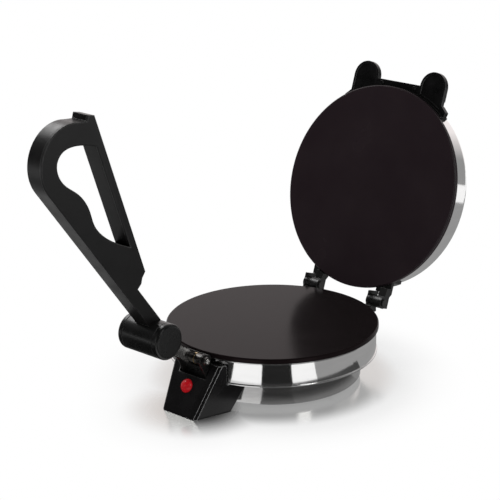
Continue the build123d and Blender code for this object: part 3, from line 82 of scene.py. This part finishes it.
camera = bpy.data.objects.new("product_camera", bpy.data.cameras.new("product_camera"))
camera.data.lens = CAMERA_LENS
axes = camera_axes(CAMERA_AZIMUTH, CAMERA_ELEVATION, CAMERA_ROLL)
camera.matrix_world = Matrix.Translation(CAMERA_PLACE) @ Matrix(axes).transposed().to_4x4()
bpy.context.collection.objects.link(camera)
bpy.context.scene.camera = camera
bpy.context.scene.view_settings.view_transform = "Standard"
print("camera looks along", [round(-v, 3) for v in axes[2]])

# %% [markdown]
# ## Node helpers
# A world or a material is a small machine of nodes, and the same few moves come back in all of them:
# link sockets, put in a colour ramp or a sum, map one range to another, mix two shaders. Each could be
# set up by hand every time. As helpers they are written once, and a material says only what is its own.

# %% Node helpers


def link_chain(tree, *pairs):
    """Links output sockets to input sockets, two by two."""
    for source, target in pairs:
        tree.links.new(source, target)


def ramp(tree, stops, source):
    """Colour ramp with the given (position, colour) stops, fed by a socket."""
    node = tree.nodes.new("ShaderNodeValToRGB")
    while len(node.color_ramp.elements) < len(stops):
        node.color_ramp.elements.new(0.5)
    for element, (place, colour) in zip(node.color_ramp.elements, stops):
        element.position = place
        element.color = (*colour, 1)
    tree.links.new(source, node.inputs[0])
    return node.outputs[0]


def math_node(tree, operation, *values):
    """Math node; each value is a number or a socket."""
    node = tree.nodes.new("ShaderNodeMath")
    node.operation = operation
    for socket, value in zip(node.inputs, values):
        if isinstance(value, (int, float)):
            socket.default_value = value
        else:
            tree.links.new(value, socket)
    return node.outputs[0]


def vector_value(tree, operation, first, second):
    """Number that Vector Math gives for a socket and a second socket or vector."""
    node = tree.nodes.new("ShaderNodeVectorMath")
    node.operation = operation
    tree.links.new(first, node.inputs[0])
    if isinstance(second, bpy.types.NodeSocket):
        tree.links.new(second, node.inputs[1])
    else:
        node.inputs[1].default_value = second
    return node.outputs["Value"]


def spread_range(tree, source, low, high, to_low, to_high, kind="LINEAR"):
    """Maps a socket from one range to another, and stops at its ends."""
    node = tree.nodes.new("ShaderNodeMapRange")
    node.interpolation_type = kind
    for name, value in (("From Min", low), ("From Max", high), ("To Min", to_low), ("To Max", to_high)):
        node.inputs[name].default_value = value
    tree.links.new(source, node.inputs["Value"])
    return node.outputs[0]


def mix_shaders(tree, factor, first, second):
    """Mixed shader: the first at a factor of 0, the second at 1."""
    node = tree.nodes.new("ShaderNodeMixShader")
    link_chain(tree, (factor, node.inputs[0]), (first, node.inputs[1]), (second, node.inputs[2]))
    return node.outputs[0]


print("node helpers defined")

# %% [markdown]
# ## Studio
# The background is plain white. A world that were simply white would also grey every black plastic
# face that turns to the camera, because real studios are dark behind the photographer. So the world
# answers each kind of ray by itself: rays that leave the camera meet plain white, rays for soft light
# meet an even grey, and mirror rays meet a dim room on the photographer's side, a grey wall at the side
# and a pale, slightly warm backdrop behind the product. These three are told apart by direction in the
# room, which doesn't depend on the camera. The grey wall is there for the lid's chrome side, which is
# grey in the picture.

# %% World
ROOM_LIGHT = 0.72
ROOM_DIM = (0.03, 0.03, 0.03)
ROOM_GREY = (0.30, 0.30, 0.30)
BACKDROP_LOW = (0.92, 0.87, 0.865)
BACKDROP_TONE = (1.04, 0.97, 0.965)
BACKDROP_DIRECTION = Vector((-0.60, 0.78, 0.16)).normalized()
# Places along the ramp: 0 is straight away from the backdrop, 1 is straight at it.
MIRROR_STOPS = [(0.0, ROOM_DIM), (0.52, ROOM_DIM), (0.60, ROOM_GREY), (0.78, ROOM_GREY),
                (0.90, BACKDROP_LOW), (1.0, BACKDROP_TONE)]

world = bpy.data.worlds.new("studio")
bpy.context.scene.world = world
world.use_nodes = True
sky = world.node_tree
sky.nodes.clear()
direction = sky.nodes.new("ShaderNodeTexCoord").outputs["Generated"]
toward_backdrop = vector_value(sky, "DOT_PRODUCT", direction, BACKDROP_DIRECTION)
mirror_tone = ramp(sky, MIRROR_STOPS, math_node(sky, "MULTIPLY_ADD", toward_backdrop, 0.5, 0.5))
soft = sky.nodes.new("ShaderNodeBackground")
soft.inputs["Strength"].default_value = ROOM_LIGHT
mirrored = sky.nodes.new("ShaderNodeBackground")
sky.links.new(mirror_tone, mirrored.inputs["Color"])
seen = sky.nodes.new("ShaderNodeBackground")
seen.inputs["Color"].default_value = (1, 1, 1, 1)
rays = sky.nodes.new("ShaderNodeLightPath").outputs
mirror_rays = math_node(sky, "MAXIMUM", rays["Is Glossy Ray"], rays["Is Transmission Ray"])
unseen = mix_shaders(sky, mirror_rays, soft.outputs[0], mirrored.outputs[0])
all_rays = mix_shaders(sky, rays["Is Camera Ray"], unseen, seen.outputs[0])
sky.links.new(all_rays, sky.nodes.new("ShaderNodeOutputWorld").inputs[0])
print("world: soft light", ROOM_LIGHT, "dim side", ROOM_DIM[0], "grey wall", ROOM_GREY[0])

# %% [markdown]
# ## Distance on the table
# The table's light and its mirror image both weaken away from what stands on it. A painted mask could
# do that, but it would have to be painted again for each product. A distance from a circle, worked out
# in the material, needs only a centre and a radius, and these come from the frame's own pieces.

# %% Distance helpers


def make_material(name):
    """Empty node material and its node tree."""
    material = bpy.data.materials.new(name)
    material.use_nodes = True
    material.node_tree.nodes.clear()
    return material, material.node_tree


def distance_from(tree, centre, radius):
    """Distance on the table from a circle, in metres."""
    place = tree.nodes.new("ShaderNodeTexCoord").outputs["Object"]
    from_centre = vector_value(tree, "DISTANCE", place, (*centre, TABLE_Z))
    return math_node(tree, "SUBTRACT", from_centre, radius)


def fade(tree, distance, reach, near, far):
    """Value that goes smoothly from near, at a distance of 0, to far, at reach."""
    return spread_range(tree, distance, 0.0, reach, near, far, "SMOOTHSTEP")


def add_mesh(name, vertices, faces, material):
    """New object from vertices and faces, with one material."""
    mesh = bpy.data.meshes.new(name)
    mesh.from_pydata(vertices, [], faces)
    mesh.materials.append(material)
    new = bpy.data.objects.new(name, mesh)
    bpy.context.collection.objects.link(new)
    return new


print("distance helpers defined")

# %% [markdown]
# ## Table
# A glossy white table. Near the product it is a lit surface, so that it takes the soft shadow; away
# from it, it turns into plain white, so that the picture's edges stay clean. A mirror layer on top is
# strongest at the foot and fades with distance: quickly round the pan, more slowly before the housing.
# A Principled shader could carry the gloss too, but it would mirror the room all over the table.

# %% Table
TABLE_SIZE = 6.0
TABLE_TONE = (0.97, 0.97, 0.97, 1)
TABLE_ROUGHNESS = 0.15
LIT_NEAR = 0.40
LIT_REACH = 0.11
MIRROR_HOUSING = 0.96
MIRROR_PAN = 0.60
MIRROR_TONE = (0.62, 0.62, 0.60, 1)
HOUSING_REACH = 0.062
PAN_REACH = 0.034
HOUSING_SPOT_R = 0.026
HOUSING_SPOT = (0.0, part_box("front_housing")[0].y + HOUSING_SPOT_R)
PAN_SPOT_R = (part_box("lower_pan")[1].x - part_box("lower_pan")[0].x) / 2

table_white, tree = make_material("table_white")
plain = tree.nodes.new("ShaderNodeEmission")
lit = tree.nodes.new("ShaderNodeBsdfDiffuse")
lit.inputs["Color"].default_value = TABLE_TONE
from_pan = distance_from(tree, (0.0, 0.0), PAN_SPOT_R)
from_housing = distance_from(tree, HOUSING_SPOT, HOUSING_SPOT_R)
lit_amount = fade(tree, math_node(tree, "MINIMUM", from_pan, from_housing), LIT_REACH, LIT_NEAR, 0.0)
surface = mix_shaders(tree, lit_amount, plain.outputs[0], lit.outputs[0])
mirror_layer = tree.nodes.new("ShaderNodeBsdfGlossy")
mirror_layer.inputs["Color"].default_value = MIRROR_TONE
mirror_layer.inputs["Roughness"].default_value = TABLE_ROUGHNESS
mirror_amount = math_node(tree, "MAXIMUM", fade(tree, from_pan, PAN_REACH, MIRROR_PAN, 0.0),
                          fade(tree, from_housing, HOUSING_REACH, MIRROR_HOUSING, 0.0))
glossy = mix_shaders(tree, mirror_amount, surface, mirror_layer.outputs[0])
tree.links.new(glossy, tree.nodes.new("ShaderNodeOutputMaterial").inputs[0])
half = TABLE_SIZE / 2
table = add_mesh("table", [(-half, -half, TABLE_Z), (half, -half, TABLE_Z), (half, half, TABLE_Z),
                           (-half, half, TABLE_Z)], [(0, 1, 2, 3)], table_white)
print("table", TABLE_SIZE, "m square, mirror spot of the pan", round(PAN_SPOT_R, 4), "m")

# %% [markdown]
# ## Cards on the table
# Polished metal shows what stands round it. A photographer lays grey and black cards round a chrome
# product, so that it reads as metal on a white table. Ours lie flat on the table, as ring sectors.
# They are seen only by mirror rays that come from above, so neither the picture nor the light knows
# about them. The far ones are what the band mirrors, its bright and dark windows. The near ones, the
# shade cards, are mostly what the lower pan mirrors: painted shade for the table under the band, where
# its shadow falls; they are paler at their inner edge, so that the pan's foot is too.

# %% Cards
CARD_LIFT = 0.6 * MM
CARD_FADE = 36 * MM
CARD_STEP = 4
FAR_INNER, FAR_OUTER = 0.20, 0.60
NEAR_INNER = 0.10
# Name, layer, inner and outer radius, first and last angle in degrees, tone at the inner edge, tone.
CARDS = [
    ("card_grey", 1, 0.0, 0.95, 0, 360, 0.31, 0.31),
    ("card_left", 2, FAR_INNER, 0.62, -205, -128, 0.62, 0.62),
    ("card_black_left", 2, FAR_INNER, FAR_OUTER, -125, -81, 0.02, 0.02),
    ("card_white_front", 2, FAR_INNER, FAR_OUTER, -81, -57, 1.0, 1.0),
    ("card_black_front", 2, FAR_INNER, FAR_OUTER, -57, -33, 0.015, 0.015),
    ("card_white_side", 2, FAR_INNER, FAR_OUTER, -33, -13, 1.0, 1.0),
    # Painted shade: the near shade cards stand for the table lying in the band's shadow.
    ("shade_left", 3, NEAR_INNER, FAR_INNER, -180, -81, 0.60, 0.12),
    ("shade_front", 3, NEAR_INNER, FAR_INNER, -81, -57, 0.90, 0.60),
    ("shade_black", 3, NEAR_INNER, FAR_INNER, -57, -33, 0.24, 0.04),
    ("shade_side", 3, NEAR_INNER, FAR_INNER, -33, 30, 0.30, 0.06),
]


def card_material(name, inner, near_tone, tone):
    """Tone seen from above, nothing seen from below."""
    material, tree = make_material(name)
    glow = tree.nodes.new("ShaderNodeEmission")
    tree.links.new(fade(tree, distance_from(tree, (0.0, 0.0), inner), CARD_FADE, near_tone, tone),
                   glow.inputs["Color"])
    clear = tree.nodes.new("ShaderNodeBsdfTransparent")
    from_below = tree.nodes.new("ShaderNodeNewGeometry").outputs["Backfacing"]
    one_sided = mix_shaders(tree, from_below, glow.outputs[0], clear.outputs[0])
    tree.links.new(one_sided, tree.nodes.new("ShaderNodeOutputMaterial").inputs[0])
    return material


def lay_card(name, layer, inner, outer, first, last, near_tone, tone):
    """Ring sector on the table, between two radii and two angles in degrees."""
    steps = max(2, round(abs(last - first) / CARD_STEP))
    height = TABLE_Z + layer * CARD_LIFT
    vertices = []
    for i in range(steps + 1):
        angle = math.radians(first + (last - first) * i / steps)
        for radius in (inner, outer):
            vertices.append((radius * math.cos(angle), radius * math.sin(angle), height))
    faces = [(2 * i, 2 * i + 1, 2 * i + 3, 2 * i + 2) for i in range(steps)]
    new = add_mesh(name, vertices, faces, card_material(name, inner, near_tone, tone))
    new.visible_camera = False
    new.visible_diffuse = False
    new.visible_shadow = False
    new.visible_transmission = False


for row in CARDS:
    lay_card(*row)
print("cards laid round the base:", len(CARDS))

# %% [markdown]
# ## Lamps
# Three soft boxes: a large one high on the left lights the black plastic from above, a tall one on the
# right fills the sides of the housing and the handle, and a narrow one in front is for the housing's
# face. Stronger lamps would grey the coating, so they are weak: the room gives the product more light
# than any of them.

# %% Lamps


def soft_box(name, place, target, width, height, watts):
    """Rectangular lamp aimed at a point."""
    lamp = bpy.data.lights.new(name, "AREA")
    lamp.shape = "RECTANGLE"
    lamp.size = width
    lamp.size_y = height
    lamp.energy = watts
    new = bpy.data.objects.new(name, lamp)
    new.location = place
    new.rotation_euler = (Vector(target) - Vector(place)).to_track_quat("-Z", "Y").to_euler()
    bpy.context.collection.objects.link(new)


soft_box("key_box", (-1.15, 0.05, 1.30), (0, -0.05, 0.08), 0.9, 0.6, 9.0)
soft_box("fill_box", (1.5, -0.2, 1.0), (0, 0, 0.05), 0.5, 0.9, 4.0)
soft_box("front_box", (-0.35, -1.7, 0.55), (-0.02, -0.1, 0.02), 0.25, 0.9, 2.0)

# %% [markdown]
# ## Grain
# No real surface is even. Its unevenness could come from pictures, but noise needs none and has no
# seams. It is read in object coordinates, and its scale is written as the real size of one grain in
# millimetres, so that one number gives the same grain on a screw and on the lid.

# %% Noise and bump


def noise(tree, grain_mm, detail, stretch):
    """Noise in object coordinates; one grain is about grain_mm wide."""
    place = tree.nodes.new("ShaderNodeTexCoord").outputs["Object"]
    mapping = tree.nodes.new("ShaderNodeMapping")
    mapping.inputs["Scale"].default_value = stretch
    texture = tree.nodes.new("ShaderNodeTexNoise")
    texture.inputs["Scale"].default_value = 1 / (grain_mm * MM)
    texture.inputs["Detail"].default_value = detail
    link_chain(tree, (place, mapping.inputs[0]), (mapping.outputs[0], texture.inputs["Vector"]))
    return texture.outputs["Fac"]


def bump(tree, height, depth_mm, below):
    """Bump from a height socket, on top of the normal below it."""
    node = tree.nodes.new("ShaderNodeBump")
    node.inputs["Distance"].default_value = depth_mm * MM
    link_chain(tree, (height, node.inputs["Height"]), (below, node.inputs["Normal"]))
    return node.outputs[0]


print("grain helpers defined")

# %% [markdown]
# ## Edges
# Every moulded or pressed edge is rounded a little. Bevels in the mesh would cost many faces on sixty
# pieces, so a Bevel node rolls only the light over the edge. The same node also finds the edges: where
# its normal differs from the face's own, there is one. The thin light lines on the housing's corner are
# painted highlights: the edges that look towards one side are made paler, where a rounded edge would
# glint, since a lamp that glints there would also spot the chrome.

# %% Edges
BEVEL_SAMPLES = 4
EDGE_START, EDGE_FULL = 0.99, 0.93
SIDE_START, SIDE_FULL = 0.55, 0.80


def rounded_edges(tree, radius_mm):
    """Normal that rolls over each edge."""
    node = tree.nodes.new("ShaderNodeBevel")
    node.samples = BEVEL_SAMPLES
    node.inputs["Radius"].default_value = radius_mm * MM
    return node.outputs[0]


def glint_edge_mask(tree, radius_mm, side):
    """Mask for a painted glint: 1 on sharp edges that look towards a side, 0 elsewhere."""
    rounded = rounded_edges(tree, radius_mm)
    flat = tree.nodes.new("ShaderNodeNewGeometry").outputs["True Normal"]
    turned = vector_value(tree, "DOT_PRODUCT", rounded, flat)
    facing = vector_value(tree, "DOT_PRODUCT", rounded, Vector(side).normalized())
    edge = spread_range(tree, turned, EDGE_START, EDGE_FULL, 0.0, 1.0)
    toward = spread_range(tree, facing, SIDE_START, SIDE_FULL, 0.0, 1.0)
    return math_node(tree, "MULTIPLY", edge, toward)


print("edge helpers defined")

# %% [markdown]
# ## How a finish is made
# Every finish here is a Principled shader on which three things vary over the surface: colour and
# roughness drift together in wide patches, and a fine bump gives the grain. A flat colour would be
# simpler and would look like a drawing. Where a glint grey is given, the edges that look towards its
# side are painted that grey: a painted highlight in place of a glint.

# %% Finish
NOISE_LOW, NOISE_HIGH = 0.3, 0.7
PATCH_DETAIL = 3.0
GRAIN_DETAIL = 1.0


def finish(name, dark, light, rough, patch_mm=18.0, grain_mm=0.6, grain_depth=0.02, edge_mm=0.4, metal=0.0,
           stretch=(1, 1, 1), specular=0.5, edge_glint_grey=0.0, glint_side=(0.8, -0.5, 0.4)):
    """Material whose colour and roughness drift between two values, with grain and rounded edges, and
    painted glints on the edges of one side where a glint grey is given.
    """
    material, tree = make_material(name)
    shader = tree.nodes.new("ShaderNodeBsdfPrincipled")
    out = tree.nodes.new("ShaderNodeOutputMaterial")
    patches = noise(tree, patch_mm, PATCH_DETAIL, stretch)
    colour = ramp(tree, [(NOISE_LOW, dark), (NOISE_HIGH, light)], patches)
    # Painted highlight: edges that look towards one side are mixed towards a paler grey.
    if edge_glint_grey > 0:
        glint_mix = tree.nodes.new("ShaderNodeMix")
        glint_mix.data_type = "RGBA"
        glint_mix.inputs["B"].default_value = (edge_glint_grey, edge_glint_grey, edge_glint_grey, 1)
        link_chain(tree, (glint_edge_mask(tree, edge_mm, glint_side), glint_mix.inputs["Factor"]),
                   (colour, glint_mix.inputs["A"]))
        colour = glint_mix.outputs["Result"]
    grain = noise(tree, grain_mm, GRAIN_DETAIL, stretch)
    normal = bump(tree, grain, grain_depth, rounded_edges(tree, edge_mm))
    shader.inputs["Metallic"].default_value = metal
    shader.inputs["Specular IOR Level"].default_value = specular
    link_chain(tree, (colour, shader.inputs["Base Color"]), (normal, shader.inputs["Normal"]),
               (spread_range(tree, patches, NOISE_LOW, NOISE_HIGH, *rough), shader.inputs["Roughness"]),
               (shader.outputs[0], out.inputs[0]))
    return material


def shader_of(material):
    """The material's Principled shader."""
    return next(node for node in material.node_tree.nodes if node.type == "BSDF_PRINCIPLED")


def wear(material, *names):
    """Puts a material on frame pieces."""
    for name in names:
        for slot in NODES[name].material_slots:
            slot.link = "OBJECT"
            slot.material = material
    print(material.name, "on", len(names), "pieces")


print("finish helpers defined")

# %% [markdown]
# ## Non-stick coating
# Both cooking plates have a baked non-stick coating: a warm near-black with a satin sheen and a very
# fine orange-peel surface. A mirror finish would be wrong and a chalky one too: the base plate lightens
# where it meets the pale backdrop at a low angle, which only a gloss does. The open lid is evenly dark;
# its copy of the same coating is painted lighter, painted light for the light that falls on the lid,
# with a rougher, weaker gloss, and its rim edges get a painted glint.

# %% Non-stick coating
base_coating = finish("base_coating", (0.0058, 0.0040, 0.0042), (0.0076, 0.0052, 0.0056), (0.15, 0.19),
                      patch_mm=45, grain_mm=0.9, grain_depth=0.006, edge_mm=0.8, specular=0.06)
shader_of(base_coating).inputs["Specular Tint"].default_value = (1.0, 0.72, 0.74, 1)
wear(base_coating, "base_cooking_plate")
# Painted light: the lid's copy of the coating is lighter than the base's, and its rim has painted glints.
lid_coating_lit_copy = finish("lid_coating_lit_copy", (0.0150, 0.0098, 0.0120), (0.0185, 0.0125, 0.0148), (0.22, 0.28),
                     patch_mm=60, grain_mm=0.9, grain_depth=0.008, edge_mm=0.8, specular=0.10,
                     edge_glint_grey=0.10, glint_side=(0.9, -0.3, 0.1))
wear(lid_coating_lit_copy, "lid_cooking_plate")

# %% [markdown]
# ## Polished steel
# The band round the base and the lid's shell are polished, chrome-bright steel. What it looks like is
# nearly all reflection, so its own colour is a plain light grey, and the life comes from a roughness
# that drifts and from faint draw lines that run round the band. One steel for all would be simpler,
# but in the picture the lower pan is duller and the press link darker, so each has its own.

# %% Polished steel
chrome = finish("polished_steel", (0.87, 0.865, 0.86), (0.92, 0.915, 0.91), (0.05, 0.09), patch_mm=60,
                grain_mm=2.2, grain_depth=0.004, edge_mm=0.3, metal=1.0, stretch=(1, 1, 6))
wear(chrome, "base_shell_band", "lid_shell")
pan_steel = finish("pan_steel", (0.56, 0.555, 0.55), (0.64, 0.635, 0.63), (0.10, 0.16), patch_mm=24,
                   grain_mm=1.4, grain_depth=0.008, edge_mm=0.3, metal=1.0, stretch=(1, 1, 5))
wear(pan_steel, "lower_pan")
link_chrome = finish("link_chrome", (0.38, 0.37, 0.36), (0.50, 0.49, 0.48), (0.10, 0.18), patch_mm=9,
                     grain_mm=0.7, grain_depth=0.006, edge_mm=0.5, metal=1.0)
wear(link_chrome, "press_link")

# %% [markdown]
# ## Black plastics and paint
# One black for all would be quicker, but then the black pieces would melt into one lump. Here are five:
# the housing with painted glint lines on its corner, the handle with the roughest face, the smooth barrel,
# the deepest black on the lid's front bracket, and a glossy paint on the hinges and the lever bracket. The
# housing, handle, barrel and bracket have a painted highlight on the edges that look towards one side.

# %% Black plastics and paint
# Painted highlight: the pale edge grey draws glint lines on the housing's corners.
housing_black = finish("housing_plastic", (0.0034, 0.0030, 0.0032), (0.0050, 0.0046, 0.0050), (0.22, 0.30),
                       patch_mm=20, grain_mm=0.5, grain_depth=0.006, edge_mm=0.8, specular=0.36,
                       edge_glint_grey=0.6)
wear(housing_black, "front_housing", "housing_cover")
# Painted highlight: a faint pale grey on the handle's edges that look towards one side.
handle_black = finish("handle_plastic", (0.0024, 0.0022, 0.0023), (0.0038, 0.0034, 0.0036), (0.30, 0.40),
                      patch_mm=16, grain_mm=0.55, grain_depth=0.02, edge_mm=1.2, specular=0.29,
                      edge_glint_grey=0.08, glint_side=(0.6, -0.35, 0.7))
wear(handle_black, "handle_body", "handle_cover")
# Painted highlight: a faint pale grey on the barrel's edges that look upwards.
barrel_black = finish("barrel_plastic", (0.0030, 0.0030, 0.0030), (0.0046, 0.0046, 0.0046), (0.24, 0.32),
                      patch_mm=12, grain_mm=0.5, grain_depth=0.004, edge_mm=0.8, specular=0.40,
                      edge_glint_grey=0.12, glint_side=(0.6, 0.1, 0.8))
wear(barrel_black, "roller_barrel", "roller_cap_left", "roller_cap_right")
# Painted highlight: a faint pale grey on the bracket's edges that look towards one side.
bracket_black = finish("bracket_plastic", (0.0016, 0.0015, 0.0016), (0.0028, 0.0026, 0.0028), (0.24, 0.34),
                       patch_mm=14, grain_mm=0.5, grain_depth=0.008, edge_mm=0.9, specular=0.22,
                       edge_glint_grey=0.07, glint_side=(0.9, -0.4, 0.2))
wear(bracket_black, "lid_front_bracket")
hinge_black = finish("hinge_black", (0.0060, 0.0060, 0.0060), (0.0105, 0.0100, 0.0098), (0.22, 0.34),
                     patch_mm=10, grain_mm=0.6, grain_depth=0.012, edge_mm=0.6)
wear(hinge_black, "base_hinge_left", "base_hinge_right", "lid_hinge_arm_left", "lid_hinge_arm_right",
     "lever_bracket")

# %% [markdown]
# ## Steel fasteners and inner steel
# Clips, clamps, heat shields, spacers and plain screws are zinc-plated. The pivot bolt is bright, since
# its head shows as a light spot beside the link. Its nut and washers are darker, the screws in the
# black parts are black, and the link turns on brass bushes. Most of these are hidden and could share
# one grey, but each kind has a finish of its own, so that the thing also looks right taken apart.

# %% Steel fasteners and inner steel
zinc = finish("zinc_steel", (0.40, 0.40, 0.41), (0.52, 0.52, 0.52), (0.28, 0.42), patch_mm=8,
              grain_mm=0.5, grain_depth=0.01, edge_mm=0.3, metal=1.0)
wear(zinc, "bottom_cover", "base_element_clamp", "lid_element_clamp", "base_heat_shield", "lid_heat_shield",
     "base_fuse_clip", "lid_fuse_clip", "base_spacers", "lid_spacers", "base_inner_screws",
     "lid_inner_screws", "base_thermal_fuse", "lid_thermal_fuse", "housing_screws", "bottom_cover_screws",
     "base_tie_screws", "lid_tie_screws", "roller_pin")
bright = finish("bright_fasteners", (0.66, 0.65, 0.63), (0.78, 0.77, 0.75), (0.12, 0.22), patch_mm=4,
                grain_mm=0.4, grain_depth=0.006, edge_mm=0.3, metal=1.0)
wear(bright, "pivot_bolt")
dark_steel = finish("dark_steel", (0.06, 0.058, 0.056), (0.12, 0.115, 0.11), (0.24, 0.36), patch_mm=4,
                    grain_mm=0.4, grain_depth=0.008, edge_mm=0.3, metal=1.0)
wear(dark_steel, "pivot_nut", "pivot_washers", "bracket_bolts")
black_screw = finish("black_screws", (0.012, 0.012, 0.012), (0.022, 0.021, 0.02), (0.24, 0.36), patch_mm=4,
                     grain_mm=0.4, grain_depth=0.01, edge_mm=0.25)
wear(black_screw, "handle_screws", "lid_bracket_screws", "lid_arm_screws", "base_hinge_screws",
     "hinge_pin_left", "hinge_pin_right", "housing_cover_screws")
brass = finish("bush_brass", (0.55, 0.40, 0.18), (0.66, 0.50, 0.26), (0.20, 0.34), patch_mm=5, grain_mm=0.4,
               grain_depth=0.006, edge_mm=0.2, metal=1.0)
wear(brass, "link_bushes")

# %% [markdown]
# ## Rubber, heater and electrics
# The feet and the grommet are matt rubber. Inside are the heating element's oxidised steel sheath, a
# pale insulation mat, the ceramic bodies of the thermostats, and the pale plastic of the terminal block
# and the lamp holder. They could stay plain grey, because the covers hide them, but a reader who lifts
# a cover should be able to tell them apart by their surface.

# %% Rubber, heater and electrics
rubber = finish("rubber_black", (0.012, 0.012, 0.012), (0.020, 0.020, 0.020), (0.62, 0.8), patch_mm=8,
                grain_mm=0.6, grain_depth=0.03, edge_mm=0.6)
wear(rubber, "rubber_feet", "cord_grommet")
sheath = finish("element_sheath", (0.10, 0.095, 0.09), (0.19, 0.18, 0.17), (0.45, 0.6), patch_mm=6,
                grain_mm=0.5, grain_depth=0.02, edge_mm=0.3, metal=1.0)
wear(sheath, "base_heating_element", "lid_heating_element")
mat_white = finish("insulation_mat", (0.60, 0.58, 0.54), (0.78, 0.76, 0.72), (0.85, 0.95), patch_mm=5,
                   grain_mm=0.8, grain_depth=0.15, edge_mm=0.6)
wear(mat_white, "base_insulation", "lid_insulation")
ceramic = finish("control_ceramic", (0.62, 0.58, 0.50), (0.74, 0.70, 0.62), (0.40, 0.55), patch_mm=5,
                 grain_mm=0.5, grain_depth=0.02, edge_mm=0.4)
wear(ceramic, "base_thermostat", "lid_thermostat")
terminal = finish("terminal_plastic", (0.55, 0.54, 0.50), (0.66, 0.65, 0.61), (0.38, 0.50), patch_mm=6,
                  grain_mm=0.5, grain_depth=0.015, edge_mm=0.4)
wear(terminal, "terminal_block", "indicator_lamp")

# %% [markdown]
# ## Red indicator lens
# The lens is a small red dome. It could be clear glass, but then it would show the dark housing behind
# it, and the one in the picture looks opaque. So it is a solid, saturated red with a gloss, and a faint
# glow of its own, as if the light behind it were on.

# %% Lens
GLOW_RED = (0.62, 0.006, 0.010, 1)
GLOW_STRENGTH = 0.12
red = finish("red_lens", (0.30, 0.002, 0.006), (0.46, 0.004, 0.010), (0.22, 0.30), patch_mm=5, grain_mm=1.2,
             grain_depth=0.02, edge_mm=0.8, specular=0.3)
shader_of(red).inputs["Emission Color"].default_value = GLOW_RED
shader_of(red).inputs["Emission Strength"].default_value = GLOW_STRENGTH
wear(red, "indicator_lens")

# %% [markdown]
# ## Rim trims
# Fine lines run between the black plates and the chrome in the picture. What makes them can't be told
# at that size; here they are taken for a thin stepped seal on the back of each plate, and for a bright
# rolled wire inside the lid shell's lip. A curve could sweep such a section, but it needs a second
# object for it, so each ring is turned as on a lathe: the section's points are spun round the middle.
# The lid's two rings are turned in the closed lid's place and then swung open about the hinge, as far
# as its joint says.

# %% Rim trims
PLATE_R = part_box("base_cooking_plate")[1].x
PLATE_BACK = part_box("base_shell_band")[1].z
LID_GAP = 1.5 * MM
LID_BACK = LID_GAP - PLATE_BACK
RIM_STEPS = 192
SEAL_INSET = 0.5 * MM
SEAL_LEDGE = 0.8 * MM
SEAL_STEP = 0.55 * MM
BASE_SEAL_INNER = PLATE_R - 2.2 * MM
LID_SEAL_INNER = PLATE_R - 3.0 * MM
WIRE_INSET = 2.4 * MM
WIRE_LIFT = 1.7 * MM
WIRE_R = 0.6 * MM
WIRE_SIDES = 10


def lid_swing():
    """Turns a piece of the closed lid to where the lid stands at rest."""
    hinge = next(joint for joint in frame["joints"] if joint["name"] == "lid_hinge")
    place = Vector(hinge["pos_m"])
    opening = math.radians(hinge["range_deg"][1])
    return Matrix.Translation(place) @ Matrix.Rotation(-opening, 4, "X") @ Matrix.Translation(-place)


def lathe(name, section, swing, material):
    """Ring turned from a closed section of (radius, height) points in metres."""
    sides = len(section)
    vertices = []
    faces = []
    for i in range(RIM_STEPS):
        angle = 2 * math.pi * i / RIM_STEPS
        vertices += [swing @ Vector((r * math.cos(angle), r * math.sin(angle), z)) for r, z in section]
        row, after = i * sides, (i + 1) % RIM_STEPS * sides
        for j in range(sides):
            k = (j + 1) % sides
            faces.append((row + j, after + j, after + k, row + k))
    ring = add_mesh(name, vertices, faces, material)
    turned = bmesh.new()
    turned.from_mesh(ring.data)
    bmesh.ops.recalc_face_normals(turned, faces=turned.faces)
    turned.to_mesh(ring.data)
    turned.free()
    return ring


def seal_section(inner, back, away):
    """Stepped section of a seal on a plate's back; away is -1 below the base plate, 1 above the lid's."""
    wide = PLATE_R - SEAL_INSET
    narrow = wide - SEAL_LEDGE
    ledge = back + away * SEAL_STEP
    end = ledge + away * SEAL_STEP
    return [(wide, back), (wide, ledge), (narrow, ledge), (narrow, end), (inner, end), (inner, back)]


def wire_section(radius, height):
    """Round section of a rolled wire."""
    turns = [2 * math.pi * i / WIRE_SIDES for i in range(WIRE_SIDES)]
    return [(radius + WIRE_R * math.cos(a), height + WIRE_R * math.sin(a)) for a in turns]


# Painted highlight: the seal's pale edge grey draws fine light lines along its steps.
seal_black = finish("rim_seal", (0.010, 0.0095, 0.0095), (0.020, 0.019, 0.019), (0.30, 0.42), patch_mm=8,
                    grain_mm=0.4, grain_depth=0.004, edge_mm=0.25, edge_glint_grey=0.12)
wire_bright = finish("rim_wire", (0.80, 0.79, 0.78), (0.90, 0.89, 0.88), (0.08, 0.14), patch_mm=8,
                     grain_mm=0.4, grain_depth=0.002, edge_mm=0.1, metal=1.0)
TRIMS = [
    ("base_rim_seal", seal_section(BASE_SEAL_INNER, PLATE_BACK, -1), Matrix.Identity(4), seal_black, "base"),
    ("lid_rim_seal", seal_section(LID_SEAL_INNER, LID_BACK, 1), lid_swing(), seal_black, "lid"),
    ("lid_lip_wire", wire_section(PLATE_R - WIRE_INSET, LID_BACK + WIRE_LIFT), lid_swing(), wire_bright,
     "lid"),
]
for name, section, swing, material, body in TRIMS:
    trim = lathe(name, section, swing, material)
    for face in trim.data.polygons:
        face.use_smooth = name.endswith("wire")
    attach(trim, body)
print("trims:", ", ".join(row[0] for row in TRIMS))

# %% [markdown]
# ## End

# %% End
print("scene set up")
